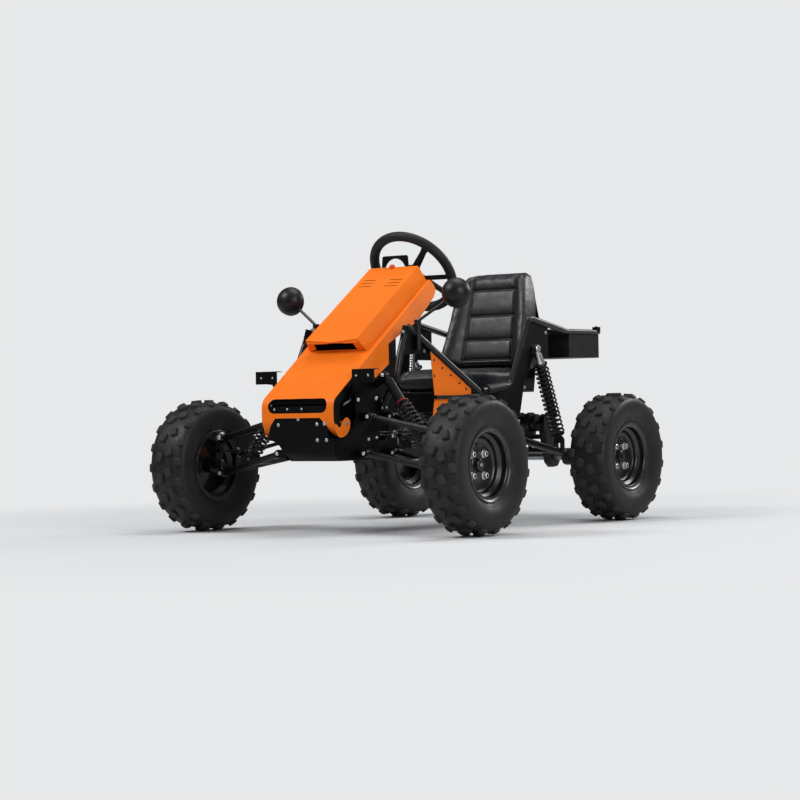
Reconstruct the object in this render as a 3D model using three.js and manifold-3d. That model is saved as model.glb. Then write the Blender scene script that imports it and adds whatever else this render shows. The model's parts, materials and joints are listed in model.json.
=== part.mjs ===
// Off road go kart, built as separate pieces in millimetres, +Z up, with the front towards -Y.
// Sizes are worked out in a frame with Y zero at mid wheelbase and Z zero on the ground.
// The whole group is then moved along Y so that its origin lies under the middle of the part.

import * as THREE from 'three';
import { mergeVertices } from 'three/addons/utils/BufferGeometryUtils.js';
import Module from 'manifold-3d';

const wasm = await Module();
wasm.setup();

// Overall sizes
const WHEELBASE = 1214;
const FRONT_TRACK = 1324;
const REAR_TRACK = 1115;
const GAP = 0.3;
const OVERRUN = 4;
const FLATNESS = 0.1;
const DEGREES = Math.PI / 180;

// Shared stock
const FRAME_TUBE_R = 13;
const ARM_TUBE_R = 13;
const SHEET = 3;
const PLATE = 5;
const BOLT_R = 6;
const BOLT_HEAD_R = 10;
const BOLT_HEAD = 7;

// Wheels
const TYRE = {
  radius: 266.5, halfWidth: 89, tread: 72, shoulder: 248, wall: 9, knob: 11, knobsPerRow: 8,
  knobLength: 52, knobWidth: 42, shoulderKnobWidth: 34, sections: 16,
};
const RIM = {
  seat: 127, flange: 143, halfWidth: 70, drop: 108, sheet: 4, discFace: 12, discRadius: 80,
  hubRadius: 30, hubLength: 58, boltCircle: 115, nutRadius: 12, nutHeight: 15, bolts: 4, capRadius: 24,
  capHeight: 16, sections: 16,
};
const FRONT_AXLE_Y = -WHEELBASE / 2;
const REAR_AXLE_Y = WHEELBASE / 2;
const WHEEL_Z = TYRE.radius;

// Materials, one for each finish seen on the kart
const FINISHES = {
  orange: { color: 0xf47a24, roughness: 0.42, metalness: 0 },
  black: { color: 0x17181a, roughness: 0.5, metalness: 0.3 },
  steel: { color: 0xb9bcc0, roughness: 0.28, metalness: 1 },
  rubber: { color: 0x2b2c2f, roughness: 0.85, metalness: 0 },
  vinyl: { color: 0x2a2d32, roughness: 0.55, metalness: 0 },
  red: { color: 0x9c1f28, roughness: 0.4, metalness: 0.2 },
  grip: { color: 0x222326, roughness: 0.7, metalness: 0 },
};

const kart = new THREE.Group();
const vec = (x, y, z) => new THREE.Vector3(x, y, z);
const X_AXIS = vec(1, 0, 0);
const Y_AXIS = vec(0, 1, 0);
const Z_AXIS = vec(0, 0, 1);

// Solid modelling helpers

function solid(geometry) {
  const bare = geometry.clone();
  bare.deleteAttribute('normal');
  bare.deleteAttribute('uv');
  const welded = mergeVertices(bare);
  const points = Float32Array.from(welded.attributes.position.array);
  const corners = Uint32Array.from(welded.index.array);
  if (signedVolume(points, corners) < 0) flip(corners);
  return new wasm.Manifold(new wasm.Mesh({ numProp: 3, vertProperties: points, triVerts: corners }));
}

function signedVolume(points, corners) {
  let sum = 0;
  const [a, b, c] = [vec(0, 0, 0), vec(0, 0, 0), vec(0, 0, 0)];
  for (let i = 0; i < corners.length; i += 3) {
    a.fromArray(points, corners[i] * 3);
    b.fromArray(points, corners[i + 1] * 3);
    c.fromArray(points, corners[i + 2] * 3);
    sum += a.dot(b.cross(c));
  }
  return sum;
}

function flip(corners) {
  for (let i = 0; i < corners.length; i += 3) {
    const first = corners[i];
    corners[i] = corners[i + 1];
    corners[i + 1] = first;
  }
}

const fuse = (...solids) => solids.flat().reduce((whole, next) => whole.add(next));
const carve = (whole, ...cutters) => cutters.flat().reduce((rest, cutter) => rest.subtract(cutter), whole);

function geometryOf(body) {
  const mesh = body.simplify(FLATNESS).getMesh();
  const geometry = new THREE.BufferGeometry();
  geometry.setAttribute('position', new THREE.BufferAttribute(Float32Array.from(mesh.vertProperties), 3));
  geometry.setIndex(new THREE.BufferAttribute(Uint32Array.from(mesh.triVerts), 1));
  return geometry;
}

// The same geometry on the other side of the kart
function mirrored(geometry) {
  const copy = geometry.clone();
  copy.scale(-1, 1, 1);
  flip(copy.index.array);
  return copy;
}

function moved(geometry, x, y, z) {
  return geometry.clone().translate(x, y, z);
}

function node(name, geometry, finish, parent = kart) {
  const shaded = geometry.toNonIndexed();
  shaded.computeVertexNormals();
  const material = new THREE.MeshStandardMaterial(FINISHES[finish]);
  material.flatShading = true;
  const mesh = new THREE.Mesh(shaded, material);
  mesh.name = name;
  parent.add(mesh);
  return mesh;
}

// A left piece and its mirror image
function pair(name, geometry, finish) {
  node(`${name}_left`, geometry, finish);
  node(`${name}_right`, mirrored(geometry), finish);
}

// Shape helpers. Each returns a closed solid.

function box(x0, x1, y0, y1, z0, z1) {
  const geometry = new THREE.BoxGeometry(Math.abs(x1 - x0), Math.abs(y1 - y0), Math.abs(z1 - z0));
  return solid(geometry.translate((x0 + x1) / 2, (y0 + y1) / 2, (z0 + z1) / 2));
}

// A round bar from a to b, which can taper
function rod(a, b, radius, sides = 8, endRadius = radius) {
  const along = b.clone().sub(a);
  const geometry = new THREE.CylinderGeometry(endRadius, radius, along.length(), sides);
  geometry.applyQuaternion(new THREE.Quaternion().setFromUnitVectors(Y_AXIS, along.clone().normalize()));
  const middle = a.clone().add(b).multiplyScalar(0.5);
  return solid(geometry.translate(middle.x, middle.y, middle.z));
}

function ball(centre, radius, sides = 12) {
  const geometry = new THREE.SphereGeometry(radius, sides, Math.round(sides / 2));
  return solid(geometry.rotateX(Math.PI / 2).translate(centre.x, centre.y, centre.z));
}

// A profile of [along, radius] points turned about an axis through the centre
function turned(profile, axis, sections, centre = vec(0, 0, 0)) {
  const points = profile.map(([along, radius]) => new THREE.Vector2(radius, along));
  const geometry = new THREE.LatheGeometry(points, sections);
  geometry.applyQuaternion(new THREE.Quaternion().setFromUnitVectors(Y_AXIS, axis));
  return solid(geometry.translate(centre.x, centre.y, centre.z));
}

// A route through stations, for a section swept along it
class Route extends THREE.Curve {
  constructor(stations) {
    super();
    this.stations = stations;
  }

  getPoint(share) {
    const place = share * (this.stations.length - 1);
    const before = Math.min(Math.floor(place), this.stations.length - 2);
    return this.stations[before].clone().lerp(this.stations[before + 1], place - before);
  }

  getPointAt(share) {
    return this.getPoint(share);
  }

  getTangent(share) {
    const last = this.stations.length - 1;
    const here = Math.round(share * last);
    const sum = vec(0, 0, 0);
    if (here > 0) sum.add(this.stations[here].clone().sub(this.stations[here - 1]).normalize());
    if (here < last) sum.add(this.stations[here + 1].clone().sub(this.stations[here]).normalize());
    return sum.normalize();
  }

  getTangentAt(share) {
    return this.getTangent(share);
  }
}

// Stations of a bent bar: each inner corner becomes a curve of a few steps
function bent(corners, bend, steps = 2) {
  const stations = [corners[0]];
  for (let i = 1; i < corners.length - 1; i += 1) {
    const corner = corners[i];
    const toward = (other) => {
      const leg = other.clone().sub(corner);
      return corner.clone().add(leg.clone().setLength(Math.min(bend, leg.length() / 2)));
    };
    const curve = new THREE.QuadraticBezierCurve3(toward(corners[i - 1]), corner, toward(corners[i + 1]));
    stations.push(...curve.getPoints(steps));
  }
  stations.push(corners[corners.length - 1]);
  return stations;
}

function swept(stations, shape) {
  const route = new Route(stations);
  const options = { steps: stations.length - 1, extrudePath: route, bevelEnabled: false, curveSegments: 1 };
  return solid(new THREE.ExtrudeGeometry(shape, options));
}

function ring(radius, sides) {
  const points = Array.from({ length: sides }, (_, i) => {
    const angle = (i + 0.5) * 2 * Math.PI / sides;
    return new THREE.Vector2(radius * Math.cos(angle), radius * Math.sin(angle));
  });
  return new THREE.Shape(points);
}

function tube(corners, radius, bend = 0, sides = 8) {
  return swept(bend > 0 ? bent(corners, bend) : corners, ring(radius, sides));
}

// A flat outline of [u, v] points, made thick along w from a point
function slab(outline, thickness, origin, u, v, holes = []) {
  const shape = new THREE.Shape(outline.map(([a, b]) => new THREE.Vector2(a, b)));
  holes.forEach((hole) => shape.holes.push(new THREE.Path(hole.map(([a, b]) => new THREE.Vector2(a, b)))));
  const geometry = new THREE.ExtrudeGeometry(shape, { depth: thickness, bevelEnabled: false,
    curveSegments: 1 });
  const w = u.clone().cross(v);
  const place = new THREE.Matrix4().makeBasis(u, v, w).setPosition(origin);
  return solid(geometry.applyMatrix4(place));
}

// An outline standing in a plane of constant X, between two X values
const sidePlate = (outline, x0, x1) => slab(outline, x1 - x0, vec(x0, 0, 0), Y_AXIS, Z_AXIS);

// An outline facing the front, between two Y values, y1 the more forward one
const facePlate = (outline, y0, y1) => slab(outline, y0 - y1, vec(0, y0, 0), X_AXIS, Z_AXIS);

// Points of an arc in an outline, both ends included
function arc(u, v, radius, from, to, steps) {
  return Array.from({ length: steps + 1 }, (_, i) => {
    const angle = (from + (to - from) * i / steps) * DEGREES;
    return [u + radius * Math.cos(angle), v + radius * Math.sin(angle)];
  });
}

// Six-sided bolt head on a face, pointing out along a direction
const boltHead = (at, out, radius = BOLT_HEAD_R, height = BOLT_HEAD) => (
  rod(at.clone().addScaledVector(out, -height / 2), at.clone().addScaledVector(out, height), radius, 6));

// A closed solid between two rings of the same number of points
function loft(rings) {
  const count = rings[0].length;
  const points = rings.flat();
  const corners = [];
  for (let r = 0; r < rings.length - 1; r += 1) {
    for (let i = 0; i < count; i += 1) {
      const next = (i + 1) % count;
      const [a, b, c, d] = [r * count + i, r * count + next, (r + 1) * count + next, (r + 1) * count + i];
      corners.push(a, b, c, a, c, d);
    }
  }
  const cap = (start, reverse) => {
    for (let i = 1; i < count - 1; i += 1) {
      corners.push(start, start + (reverse ? i + 1 : i), start + (reverse ? i : i + 1));
    }
  };
  cap(0, true);
  cap((rings.length - 1) * count, false);
  const geometry = new THREE.BufferGeometry();
  geometry.setAttribute('position', new THREE.Float32BufferAttribute(points.flatMap((p) => p.toArray()), 3));
  geometry.setIndex(corners);
  return solid(geometry);
}

// Tyres: a bias-ply all-terrain section with three staggered rows of tread blocks

function tyre() {
  const { radius, halfWidth, knob, shoulder, tread, sections } = TYRE;
  const crown = radius - knob;
  const { seat, flange, halfWidth: rimHalf, sheet } = RIM;
  const half = [
    [rimHalf - sheet * 2, seat + GAP],
    [rimHalf - sheet - GAP, flange + GAP],
    [halfWidth * 0.97, flange + (shoulder - flange) * 0.33],
    [halfWidth, flange + (shoulder - flange) * 0.66],
    [tread, shoulder],
    [tread / 2, crown],
  ];
  const other = half.map(([along, r]) => [-along, r]).reverse();
  const closed = [...half, ...other, half[0]];
  return fuse(turned(closed, X_AXIS, sections), ...treadBlocks(crown));
}

function treadBlocks(crown) {
  const { radius, knob, tread, halfWidth, knobLength, knobWidth, shoulderKnobWidth, knobsPerRow } = TYRE;
  const pitch = 2 * Math.PI / knobsPerRow;
  const shoulderDrop = knob * 0.5;
  const rows = [
    { along: 0, top: radius, width: knobWidth, sink: knob * 1.6, lead: 0 },
    { along: (tread + halfWidth) / 2 - shoulderKnobWidth / 2, top: radius - shoulderDrop,
      width: shoulderKnobWidth, sink: knob * 2.4, lead: pitch / 2 },
  ];
  rows.push({ ...rows[1], along: -rows[1].along });
  const blocks = [];
  rows.forEach(({ along, top, width, sink, lead }) => {
    for (let i = 0; i < knobsPerRow; i += 1) {
      const block = new THREE.BoxGeometry(width, knobLength, sink);
      block.translate(along, 0, sink / 2 - top);
      blocks.push(solid(block.rotateX(i * pitch + lead)));
    }
  });
  return blocks;
}

// Rims: a dished steel wheel with a drop centre, its hub and four nuts on a square pattern.
// The front hub turns on a spindle that enters its blind bore from the inner side.

function rim(boreRadius, boreEnd) {
  const { seat, flange, halfWidth, drop, sheet, discFace, discRadius, hubRadius, hubLength } = RIM;
  const { capRadius, capHeight, sections } = RIM;
  const well = discRadius * 0.33;
  const lip = halfWidth - sheet;
  const bead = lip - sheet / 2;
  const ledge = halfWidth * 0.54;
  const profile = [
    [discFace + capHeight, 0],
    [discFace + capHeight, capRadius * 0.8],
    [discFace, capRadius],
    [discFace, discRadius],
    [well + sheet / 2, drop - sheet],
    [ledge + sheet / 2, seat - sheet],
    [lip, seat - sheet],
    [halfWidth, flange],
    [lip, flange],
    [bead, seat],
    [ledge, seat],
    [well, drop],
    [-well, drop],
    [-ledge, seat],
    [-bead, seat],
    [-lip, flange],
    [-halfWidth, flange],
    [-lip, seat - sheet],
    [-ledge - sheet / 2, seat - sheet],
    [-well - sheet / 2, drop - sheet],
    [discFace - sheet, drop - sheet],
    [discFace - sheet, hubRadius + sheet],
    [discFace - hubLength, hubRadius],
    [discFace - hubLength, boreRadius],
    [boreEnd, boreRadius],
    [boreEnd, 0],
  ];
  return fuse(turned(profile, X_AXIS, sections), ...wheelNuts());
}

function wheelNuts() {
  const { boltCircle, bolts, discFace, nutRadius, nutHeight } = RIM;
  const nuts = [];
  for (let i = 0; i < bolts; i += 1) {
    const angle = (i + 0.5) * 2 * Math.PI / bolts;
    const y = boltCircle / 2 * Math.cos(angle);
    const z = boltCircle / 2 * Math.sin(angle);
    const seatX = discFace - SHEET / 2;
    nuts.push(rod(vec(seatX, y, z), vec(discFace + nutHeight, y, z), nutRadius, 6));
  }
  return nuts;
}

const SPINDLE_R = 12.5;
const SPINDLE_END = 2;
const AXLE_R = 15;
const frontWheelX = FRONT_TRACK / 2;
const rearWheelX = REAR_TRACK / 2;

function wheels() {
  const round = geometryOf(tyre());
  const frontRim = geometryOf(rim(bore(SPINDLE_R, RIM.sections), SPINDLE_END + GAP));
  const rearRim = geometryOf(rim(bore(AXLE_R, RIM.sections), SPINDLE_END + GAP));
  pair('tyre_front', moved(round, frontWheelX, FRONT_AXLE_Y, WHEEL_Z), 'rubber');
  pair('tyre_rear', moved(round, rearWheelX, REAR_AXLE_Y, WHEEL_Z), 'rubber');
  pair('rim_front', moved(frontRim, frontWheelX, FRONT_AXLE_Y, WHEEL_Z), 'black');
  pair('rim_rear', moved(rearRim, rearWheelX, REAR_AXLE_Y, WHEEL_Z), 'black');
}

// Radius of a faceted bore whose flats clear a round bar by the fit gap
const bore = (radius, sides) => (radius + GAP) / Math.cos(Math.PI / sides);

// Ball joints
const BALL = { radius: 12, neck: 6, neckLength: 22, cup: 20, cupBelow: 17, cupAbove: 9, sides: 8 };
const socketRadius = (BALL.radius + GAP) / Math.cos(Math.PI / BALL.sides) ** 2;

// A cup round a ball, open towards one side for the neck
function ballCup(centre, open) {
  const back = centre.clone().addScaledVector(open, -BALL.cupBelow);
  return rod(back, centre.clone().addScaledVector(open, BALL.cupAbove), BALL.cup, BALL.sides);
}

function ballSpace(centre, open, socket = ball(centre, socketRadius, BALL.sides)) {
  const mouth = centre.clone().addScaledVector(open, BALL.cupBelow * 2);
  return [socket, rod(centre, mouth, BALL.neck + GAP * 4, BALL.sides, BALL.cupBelow + BALL.neck)];
}

function ballStud(centre, toward, length, head = ball(centre, BALL.radius, BALL.sides)) {
  return fuse(head, rod(centre, centre.clone().addScaledVector(toward, length), BALL.neck, BALL.sides));
}

// A ball that only rocks about Y has its poles on Y, and its socket fits it as a bore fits a bar
function rockingBall(centre, radius = BALL.radius, turn = Math.PI / BALL.sides) {
  const geometry = new THREE.SphereGeometry(radius, BALL.sides, BALL.sides / 2);
  return solid(geometry.rotateY(turn).translate(centre.x, centre.y, centre.z));
}

const rockingSocket = (centre) => rockingBall(centre, bore(BALL.radius, BALL.sides), 0);

// Front suspension, drawn for the kart's left side (+X)
const PIVOT = { x: 212, radius: 15, half: 18, ear: 16, sides: 8 };
const ARM = {
  lowerZ: 314, upperZ: 454, lowerFront: -678, lowerRear: -490, upperFront: -652, upperRear: -505,
  drop: 79, span: 363, elbowX: 425, elbowY: -512, braceShare: 0.42,
};
const kingpinX = PIVOT.x + ARM.span;
const lowerBall = vec(kingpinX, FRONT_AXLE_Y, ARM.lowerZ - ARM.drop);
const upperBall = vec(kingpinX, FRONT_AXLE_Y, ARM.upperZ - ARM.drop);

// Shock absorbers. The top eye hangs on the chassis and the bottom eye on the arm.
const SHOCK = {
  y: -568, topX: 223, topZ: 613, bottomX: 455, bottomZ: 290, body: 20, bodyLength: 138, bodyStart: 24,
  collar: 30,
  collarHeight: 12, eye: 15, eyeHalf: 12, eyeSlack: 1.6, shaft: 8, seat: 29, seatHeight: 8, boreDepth: 112,
  spring: 28, wire: 5, curls: 7, shaftInside: 40, neck: 22,
};
const REAR_SHOCK = {
  x: 320, topY: 367, topZ: 723, bottomY: 535, bottomZ: 340, body: 16, bodyLength: 196, bodyStart: 24,
  collar: 30,
  collarHeight: 10, eye: 15, eyeHalf: 12, eyeSlack: 1.6, shaft: 8, seat: 29, seatHeight: 8, boreDepth: 150,
  spring: 28, wire: 5, curls: 9, shaftInside: 40, neck: 22, springTop: 78,
};

function pivotSleeve(y, z) {
  return rod(vec(PIVOT.x, y - PIVOT.half, z), vec(PIVOT.x, y + PIVOT.half, z), PIVOT.radius, PIVOT.sides);
}

function pivotBore(y, z) {
  const reach = PIVOT.half + OVERRUN;
  return rod(vec(PIVOT.x, y - reach, z), vec(PIVOT.x, y + reach, z), bore(BOLT_R, PIVOT.sides), PIVOT.sides);
}

function lowerArm() {
  const { lowerZ, lowerFront, lowerRear, braceShare } = ARM;
  const front = vec(PIVOT.x, lowerFront, lowerZ);
  const rear = vec(PIVOT.x, lowerRear, lowerZ);
  const brace = [front.clone().lerp(lowerBall, braceShare), rear.clone().lerp(lowerBall, braceShare)];
  const ears = [-1, 1].map((side) => {
    const inner = SHOCK.y + side * (SHOCK.eyeHalf + GAP);
    const outer = inner + side * (SHEET + GAP);
    const outline = [
      [SHOCK.bottomX - SHOCK.eye, SHOCK.bottomZ - SHOCK.eye * 2],
      [SHOCK.bottomX + SHOCK.eye, SHOCK.bottomZ - SHOCK.eye * 2],
      ...arc(SHOCK.bottomX, SHOCK.bottomZ, SHOCK.eye, 0, 180, 2),
    ];
    return facePlate(outline, Math.max(inner, outer), Math.min(inner, outer));
  });
  const reach = SHOCK.eyeHalf + SHEET + GAP * 2;
  const eyeBolt = rod(vec(SHOCK.bottomX, SHOCK.y - reach, SHOCK.bottomZ),
    vec(SHOCK.bottomX, SHOCK.y + reach, SHOCK.bottomZ), BOLT_R, 8);
  const whole = fuse(
    tube([lowerBall, front], ARM_TUBE_R),
    tube([lowerBall, rear], ARM_TUBE_R),
    tube(brace, ARM_TUBE_R * 0.8, 0, 6),
    ballCup(lowerBall, Z_AXIS),
    pivotSleeve(lowerFront, lowerZ),
    pivotSleeve(lowerRear, lowerZ),
    ears, eyeBolt,
  );
  return carve(whole, ballSpace(lowerBall, Z_AXIS, rockingSocket(lowerBall)), pivotBore(lowerFront, lowerZ),
    pivotBore(lowerRear, lowerZ));
}

function upperArm() {
  const { upperZ, upperFront, upperRear, elbowX, elbowY, drop, span } = ARM;
  const down = vec(0, 0, -1);
  const elbow = vec(elbowX, elbowY, upperZ - drop * (elbowX - PIVOT.x) / span);
  const whole = fuse(
    tube([upperBall, vec(PIVOT.x, upperFront, upperZ)], ARM_TUBE_R * 0.9),
    tube([upperBall, elbow, vec(PIVOT.x, upperRear, upperZ)], ARM_TUBE_R * 0.9, SHOCK.eye * 2),
    ballCup(upperBall, down),
    pivotSleeve(upperFront, upperZ),
    pivotSleeve(upperRear, upperZ),
  );
  return carve(whole, ballSpace(upperBall, down), pivotBore(upperFront, upperZ), pivotBore(upperRear,
    upperZ));
}

// Steering knuckle: two bosses on the kingpin line, a spindle and a steering arm
const KNUCKLE = {
  bossRadius: 16, bossHeight: 22, webInner: 588, webOuter: 600, webHalf: 21, topBoss: 11, shoulder: 16,
  armLength: 100, armHalf: 13, armThick: 10, rodEndGap: 3.6, rodEnd: 12, rodEndHeight: 20,
};
const tieZ = lowerBall.z + 70;
const RACK = { y: FRONT_AXLE_Y + KNUCKLE.armLength, z: 384, bar: 11, housing: 20, half: 130, ball: 17 };

function lowerStud() {
  const top = lowerBall.z + BALL.neckLength;
  const collar = rod(vec(lowerBall.x, lowerBall.y, top - SHEET), vec(lowerBall.x, lowerBall.y, top),
    BALL.neck * 1.6, BALL.sides);
  const nutBase = top + KNUCKLE.bossHeight + GAP * 2;
  const nut = rod(vec(lowerBall.x, lowerBall.y, nutBase), vec(lowerBall.x, lowerBall.y, nutBase + BOLT_HEAD),
    BOLT_HEAD_R, 6);
  const length = BALL.neckLength + KNUCKLE.bossHeight + BOLT_HEAD;
  return fuse(ballStud(lowerBall, Z_AXIS, length, rockingBall(lowerBall)), collar, nut);
}

function knuckle() {
  const { bossRadius, bossHeight, webInner, webOuter, webHalf, topBoss, shoulder } = KNUCKLE;
  const bottom = lowerBall.z + BALL.neckLength + GAP;
  const topFace = upperBall.z - BALL.neckLength + SHEET;
  const armBottom = tieZ + KNUCKLE.rodEndHeight / 2 + KNUCKLE.rodEndGap;
  const y = FRONT_AXLE_Y;
  const hubEnd = frontWheelX + RIM.discFace - RIM.hubLength - GAP;
  const armEnd = RACK.y;
  const steeringArm = slab([
    [webOuter - OVERRUN, y - webHalf],
    [webOuter - OVERRUN, y + webHalf],
    [kingpinX + KNUCKLE.armHalf, armEnd],
    ...arc(kingpinX, armEnd, KNUCKLE.armHalf, 30, 180, 4),
    [kingpinX - KNUCKLE.armHalf, y - webHalf],
  ], KNUCKLE.armThick, vec(0, 0, armBottom), X_AXIS, Y_AXIS);
  const whole = fuse(
    rod(vec(kingpinX, y, bottom), vec(kingpinX, y, bottom + bossHeight), bossRadius, BALL.sides),
    box(kingpinX, webOuter, y - bossRadius * 0.8, y + bossRadius * 0.8, bottom, bottom + bossHeight),
    box(webInner, webOuter, y - webHalf, y + webHalf, bottom, topFace),
    box(kingpinX - bossRadius * 0.8, webOuter, y - bossRadius * 0.8, y + bossRadius * 0.8,
      topFace - topBoss, topFace),
    ballStud(upperBall, vec(0, 0, -1), BALL.neckLength),
    rod(vec(webInner, y, WHEEL_Z), vec(hubEnd, y, WHEEL_Z), shoulder, RIM.sections),
    rod(vec(webInner, y, WHEEL_Z), vec(frontWheelX + SPINDLE_END, y, WHEEL_Z), SPINDLE_R, RIM.sections),
    steeringArm,
  );
  const shank = rod(vec(kingpinX, y, bottom - OVERRUN), vec(kingpinX, y, bottom + bossHeight + OVERRUN),
    bore(BALL.neck, BALL.sides), BALL.sides);
  const nutSpace = rod(vec(kingpinX, y, bottom + bossHeight), vec(kingpinX, y, armBottom - GAP),
    BOLT_HEAD_R + OVERRUN / 2, BALL.sides);
  return carve(whole, shank, nutSpace);
}

function tieRod() {
  const inner = vec(PIVOT.x, RACK.y, RACK.z);
  const outer = vec(kingpinX, RACK.y, tieZ);
  const along = outer.clone().sub(inner).normalize();
  const shank = inner.clone().addScaledVector(along, BALL.neckLength + BALL.neck);
  const half = KNUCKLE.rodEndHeight / 2;
  return fuse(
    ballStud(inner, along, BALL.neckLength + BALL.neck + OVERRUN, rockingBall(inner)),
    tube([shank, outer.clone().addScaledVector(along, -KNUCKLE.rodEnd / 2)], BALL.neck * 1.4, 0, 8),
    rod(outer.clone().setZ(tieZ - half), outer.clone().setZ(tieZ + half), KNUCKLE.rodEnd, BALL.sides),
  );
}

// A shock absorber from its top point to its bottom point, turning about the axis of its eyes
function shockParts(size, top, bottom, eyeAxis) {
  const along = bottom.clone().sub(top).normalize();
  const length = bottom.distanceTo(top);
  const at = (distance) => top.clone().addScaledVector(along, distance);
  const eyeAt = (centre, radius) => rod(centre.clone().addScaledVector(eyeAxis, -size.eyeHalf),
    centre.clone().addScaledVector(eyeAxis, size.eyeHalf), radius, PIVOT.sides);
  const eyeBore = (centre, radius) => rod(centre.clone().addScaledVector(eyeAxis, -size.eyeHalf - OVERRUN),
    centre.clone().addScaledVector(eyeAxis, size.eyeHalf + OVERRUN), radius, PIVOT.sides);
  const springTop = size.springTop ?? size.bodyLength;
  const bodyParts = [
    eyeAt(top, size.eye),
    rod(at(size.eye * 0.6), at(size.bodyStart + OVERRUN), size.body * 0.6, PIVOT.sides),
    rod(at(size.bodyStart), at(size.bodyLength), size.body, PIVOT.sides),
    rod(at(springTop - size.collarHeight), at(springTop), size.collar, PIVOT.sides),
  ];
  const body = carve(fuse(bodyParts), eyeBore(top, bore(BOLT_R, PIVOT.sides)),
    rod(at(size.bodyLength - size.boreDepth), at(size.bodyLength + OVERRUN), bore(size.shaft, 8), 8));
  const seatAt = length - size.neck;
  const shaft = carve(fuse(
    eyeAt(bottom, size.eye),
    rod(at(size.bodyLength - size.shaftInside), at(length - size.eye * 0.6), size.shaft, 8),
    rod(at(seatAt - size.seatHeight), at(seatAt), size.seat, PIVOT.sides),
  ), eyeBore(bottom, bore(BOLT_R + size.eyeSlack, PIVOT.sides)));
  const spring = coil(size, at(springTop), along, seatAt - size.seatHeight - springTop);
  return { body, shaft, spring, along, length };
}

// One unbroken helix between two seats, five-sided, eight steps to a curl
const LEAST_COIL_GAP = [];
const COIL_STEPS = 8;
const COIL_SIDES = 5;

function coil(size, start, along, room) {
  const slack = GAP;
  const rise = room - 2 * (size.wire + slack);
  const steps = size.curls * COIL_STEPS;
  const side = vec(along.z, 0, -along.x).lengthSq() > 0 ? vec(along.z, 0, -along.x) : vec(1, 0, 0);
  const u = side.addScaledVector(along, -side.dot(along)).normalize();
  const v = along.clone().cross(u);
  const centres = [];
  const rings = [];
  for (let i = 0; i <= steps; i += 1) {
    const angle = 2 * Math.PI * i / COIL_STEPS;
    const out = u.clone().multiplyScalar(Math.cos(angle)).addScaledVector(v, Math.sin(angle));
    const climb = size.wire + slack + rise * i / steps;
    const centre = start.clone().addScaledVector(along, climb).addScaledVector(out, size.spring);
    centres.push(centre);
    rings.push(Array.from({ length: COIL_SIDES }, (_, k) => {
      const turn = 2 * Math.PI * k / COIL_SIDES;
      return centre.clone()
        .addScaledVector(out, size.wire * Math.cos(turn))
        .addScaledVector(along, size.wire * Math.sin(turn));
    }));
  }
  let least = Infinity;
  centres.forEach((a, i) => centres.slice(i + COIL_STEPS / 2).forEach((b) => {
    least = Math.min(least, a.distanceTo(b) - 2 * size.wire);
  }));
  LEAST_COIL_GAP.push(least);
  return loft(rings);
}

function frontSuspension() {
  const top = vec(SHOCK.topX, SHOCK.y, SHOCK.topZ);
  const bottom = vec(SHOCK.bottomX, SHOCK.y, SHOCK.bottomZ);
  const shock = shockParts(SHOCK, top, bottom, Y_AXIS);
  pair('lower_arm', geometryOf(lowerArm()), 'black');
  pair('upper_arm', geometryOf(upperArm()), 'black');
  pair('lower_ball_stud', geometryOf(lowerStud()), 'steel');
  pair('steering_knuckle', geometryOf(knuckle()), 'black');
  pair('tie_rod', geometryOf(tieRod()), 'black');
  pair('front_shock_body', geometryOf(shock.body), 'black');
  pair('front_shock_shaft', geometryOf(shock.shaft), 'steel');
  pair('front_shock_spring', geometryOf(shock.spring), 'black');
}

// Steering: wheel and column turn together, then a ball coupling, a lower shaft and a rack
const WHEEL = {
  y: -55, z: 1042, ring: 178, grip: 18.4, lean: 38.5, hub: 34, hubThick: 22, spokeWidth: 30, spokeThick: 8,
  sections: 20, gripSides: 7, columnLength: 420,
};
const COLUMN_R = 11;
const LOWER_SHAFT_R = 8;
const wheelCentre = vec(0, WHEEL.y, WHEEL.z);
const columnDown = vec(0, -Math.cos(WHEEL.lean * DEGREES), -Math.sin(WHEEL.lean * DEGREES));
const joint = wheelCentre.clone().addScaledVector(columnDown, WHEEL.columnLength);
const rackCentre = vec(0, RACK.y, RACK.z);
const shaftUp = joint.clone().sub(rackCentre).normalize();
const TOWER = { radius: 17, length: 70, pinionStart: RACK.housing + OVERRUN };
const COUPLING_R = 18;

function steeringWheel() {
  const { ring: ringRadius, grip, hub, hubThick, spokeWidth, spokeThick, sections, gripSides } = WHEEL;
  const parts = [solid(new THREE.TorusGeometry(ringRadius, grip, gripSides, sections))];
  parts.push(rod(vec(0, 0, -hubThick / 2), vec(0, 0, hubThick / 2), hub, 10));
  [45, 225, 315].forEach((angle) => {
    const spoke = new THREE.BoxGeometry(ringRadius - hub / 2, spokeWidth, spokeThick);
    spoke.translate((ringRadius + hub / 2) / 2, 0, 0).rotateZ(angle * DEGREES);
    parts.push(solid(spoke));
  });
  const up = columnDown.clone().cross(X_AXIS);
  const place = new THREE.Matrix4().makeBasis(X_AXIS, up, columnDown).setPosition(wheelCentre);
  return geometryOf(fuse(parts)).applyMatrix4(place);
}

function steeringColumn() {
  const flangeTop = wheelCentre.clone().addScaledVector(columnDown, WHEEL.hubThick / 2 + GAP);
  const flangeEnd = flangeTop.clone().addScaledVector(columnDown, PLATE * 2);
  return geometryOf(fuse(
    rod(flangeTop, flangeEnd, WHEEL.hub * 0.8, 10),
    rod(flangeTop, joint.clone().addScaledVector(columnDown, -COUPLING_R * 2), COLUMN_R, 10),
    rod(joint.clone().addScaledVector(columnDown, -COUPLING_R * 2 - OVERRUN), joint, LOWER_SHAFT_R, 8),
    ball(joint, BALL.radius, BALL.sides),
  ));
}

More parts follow.
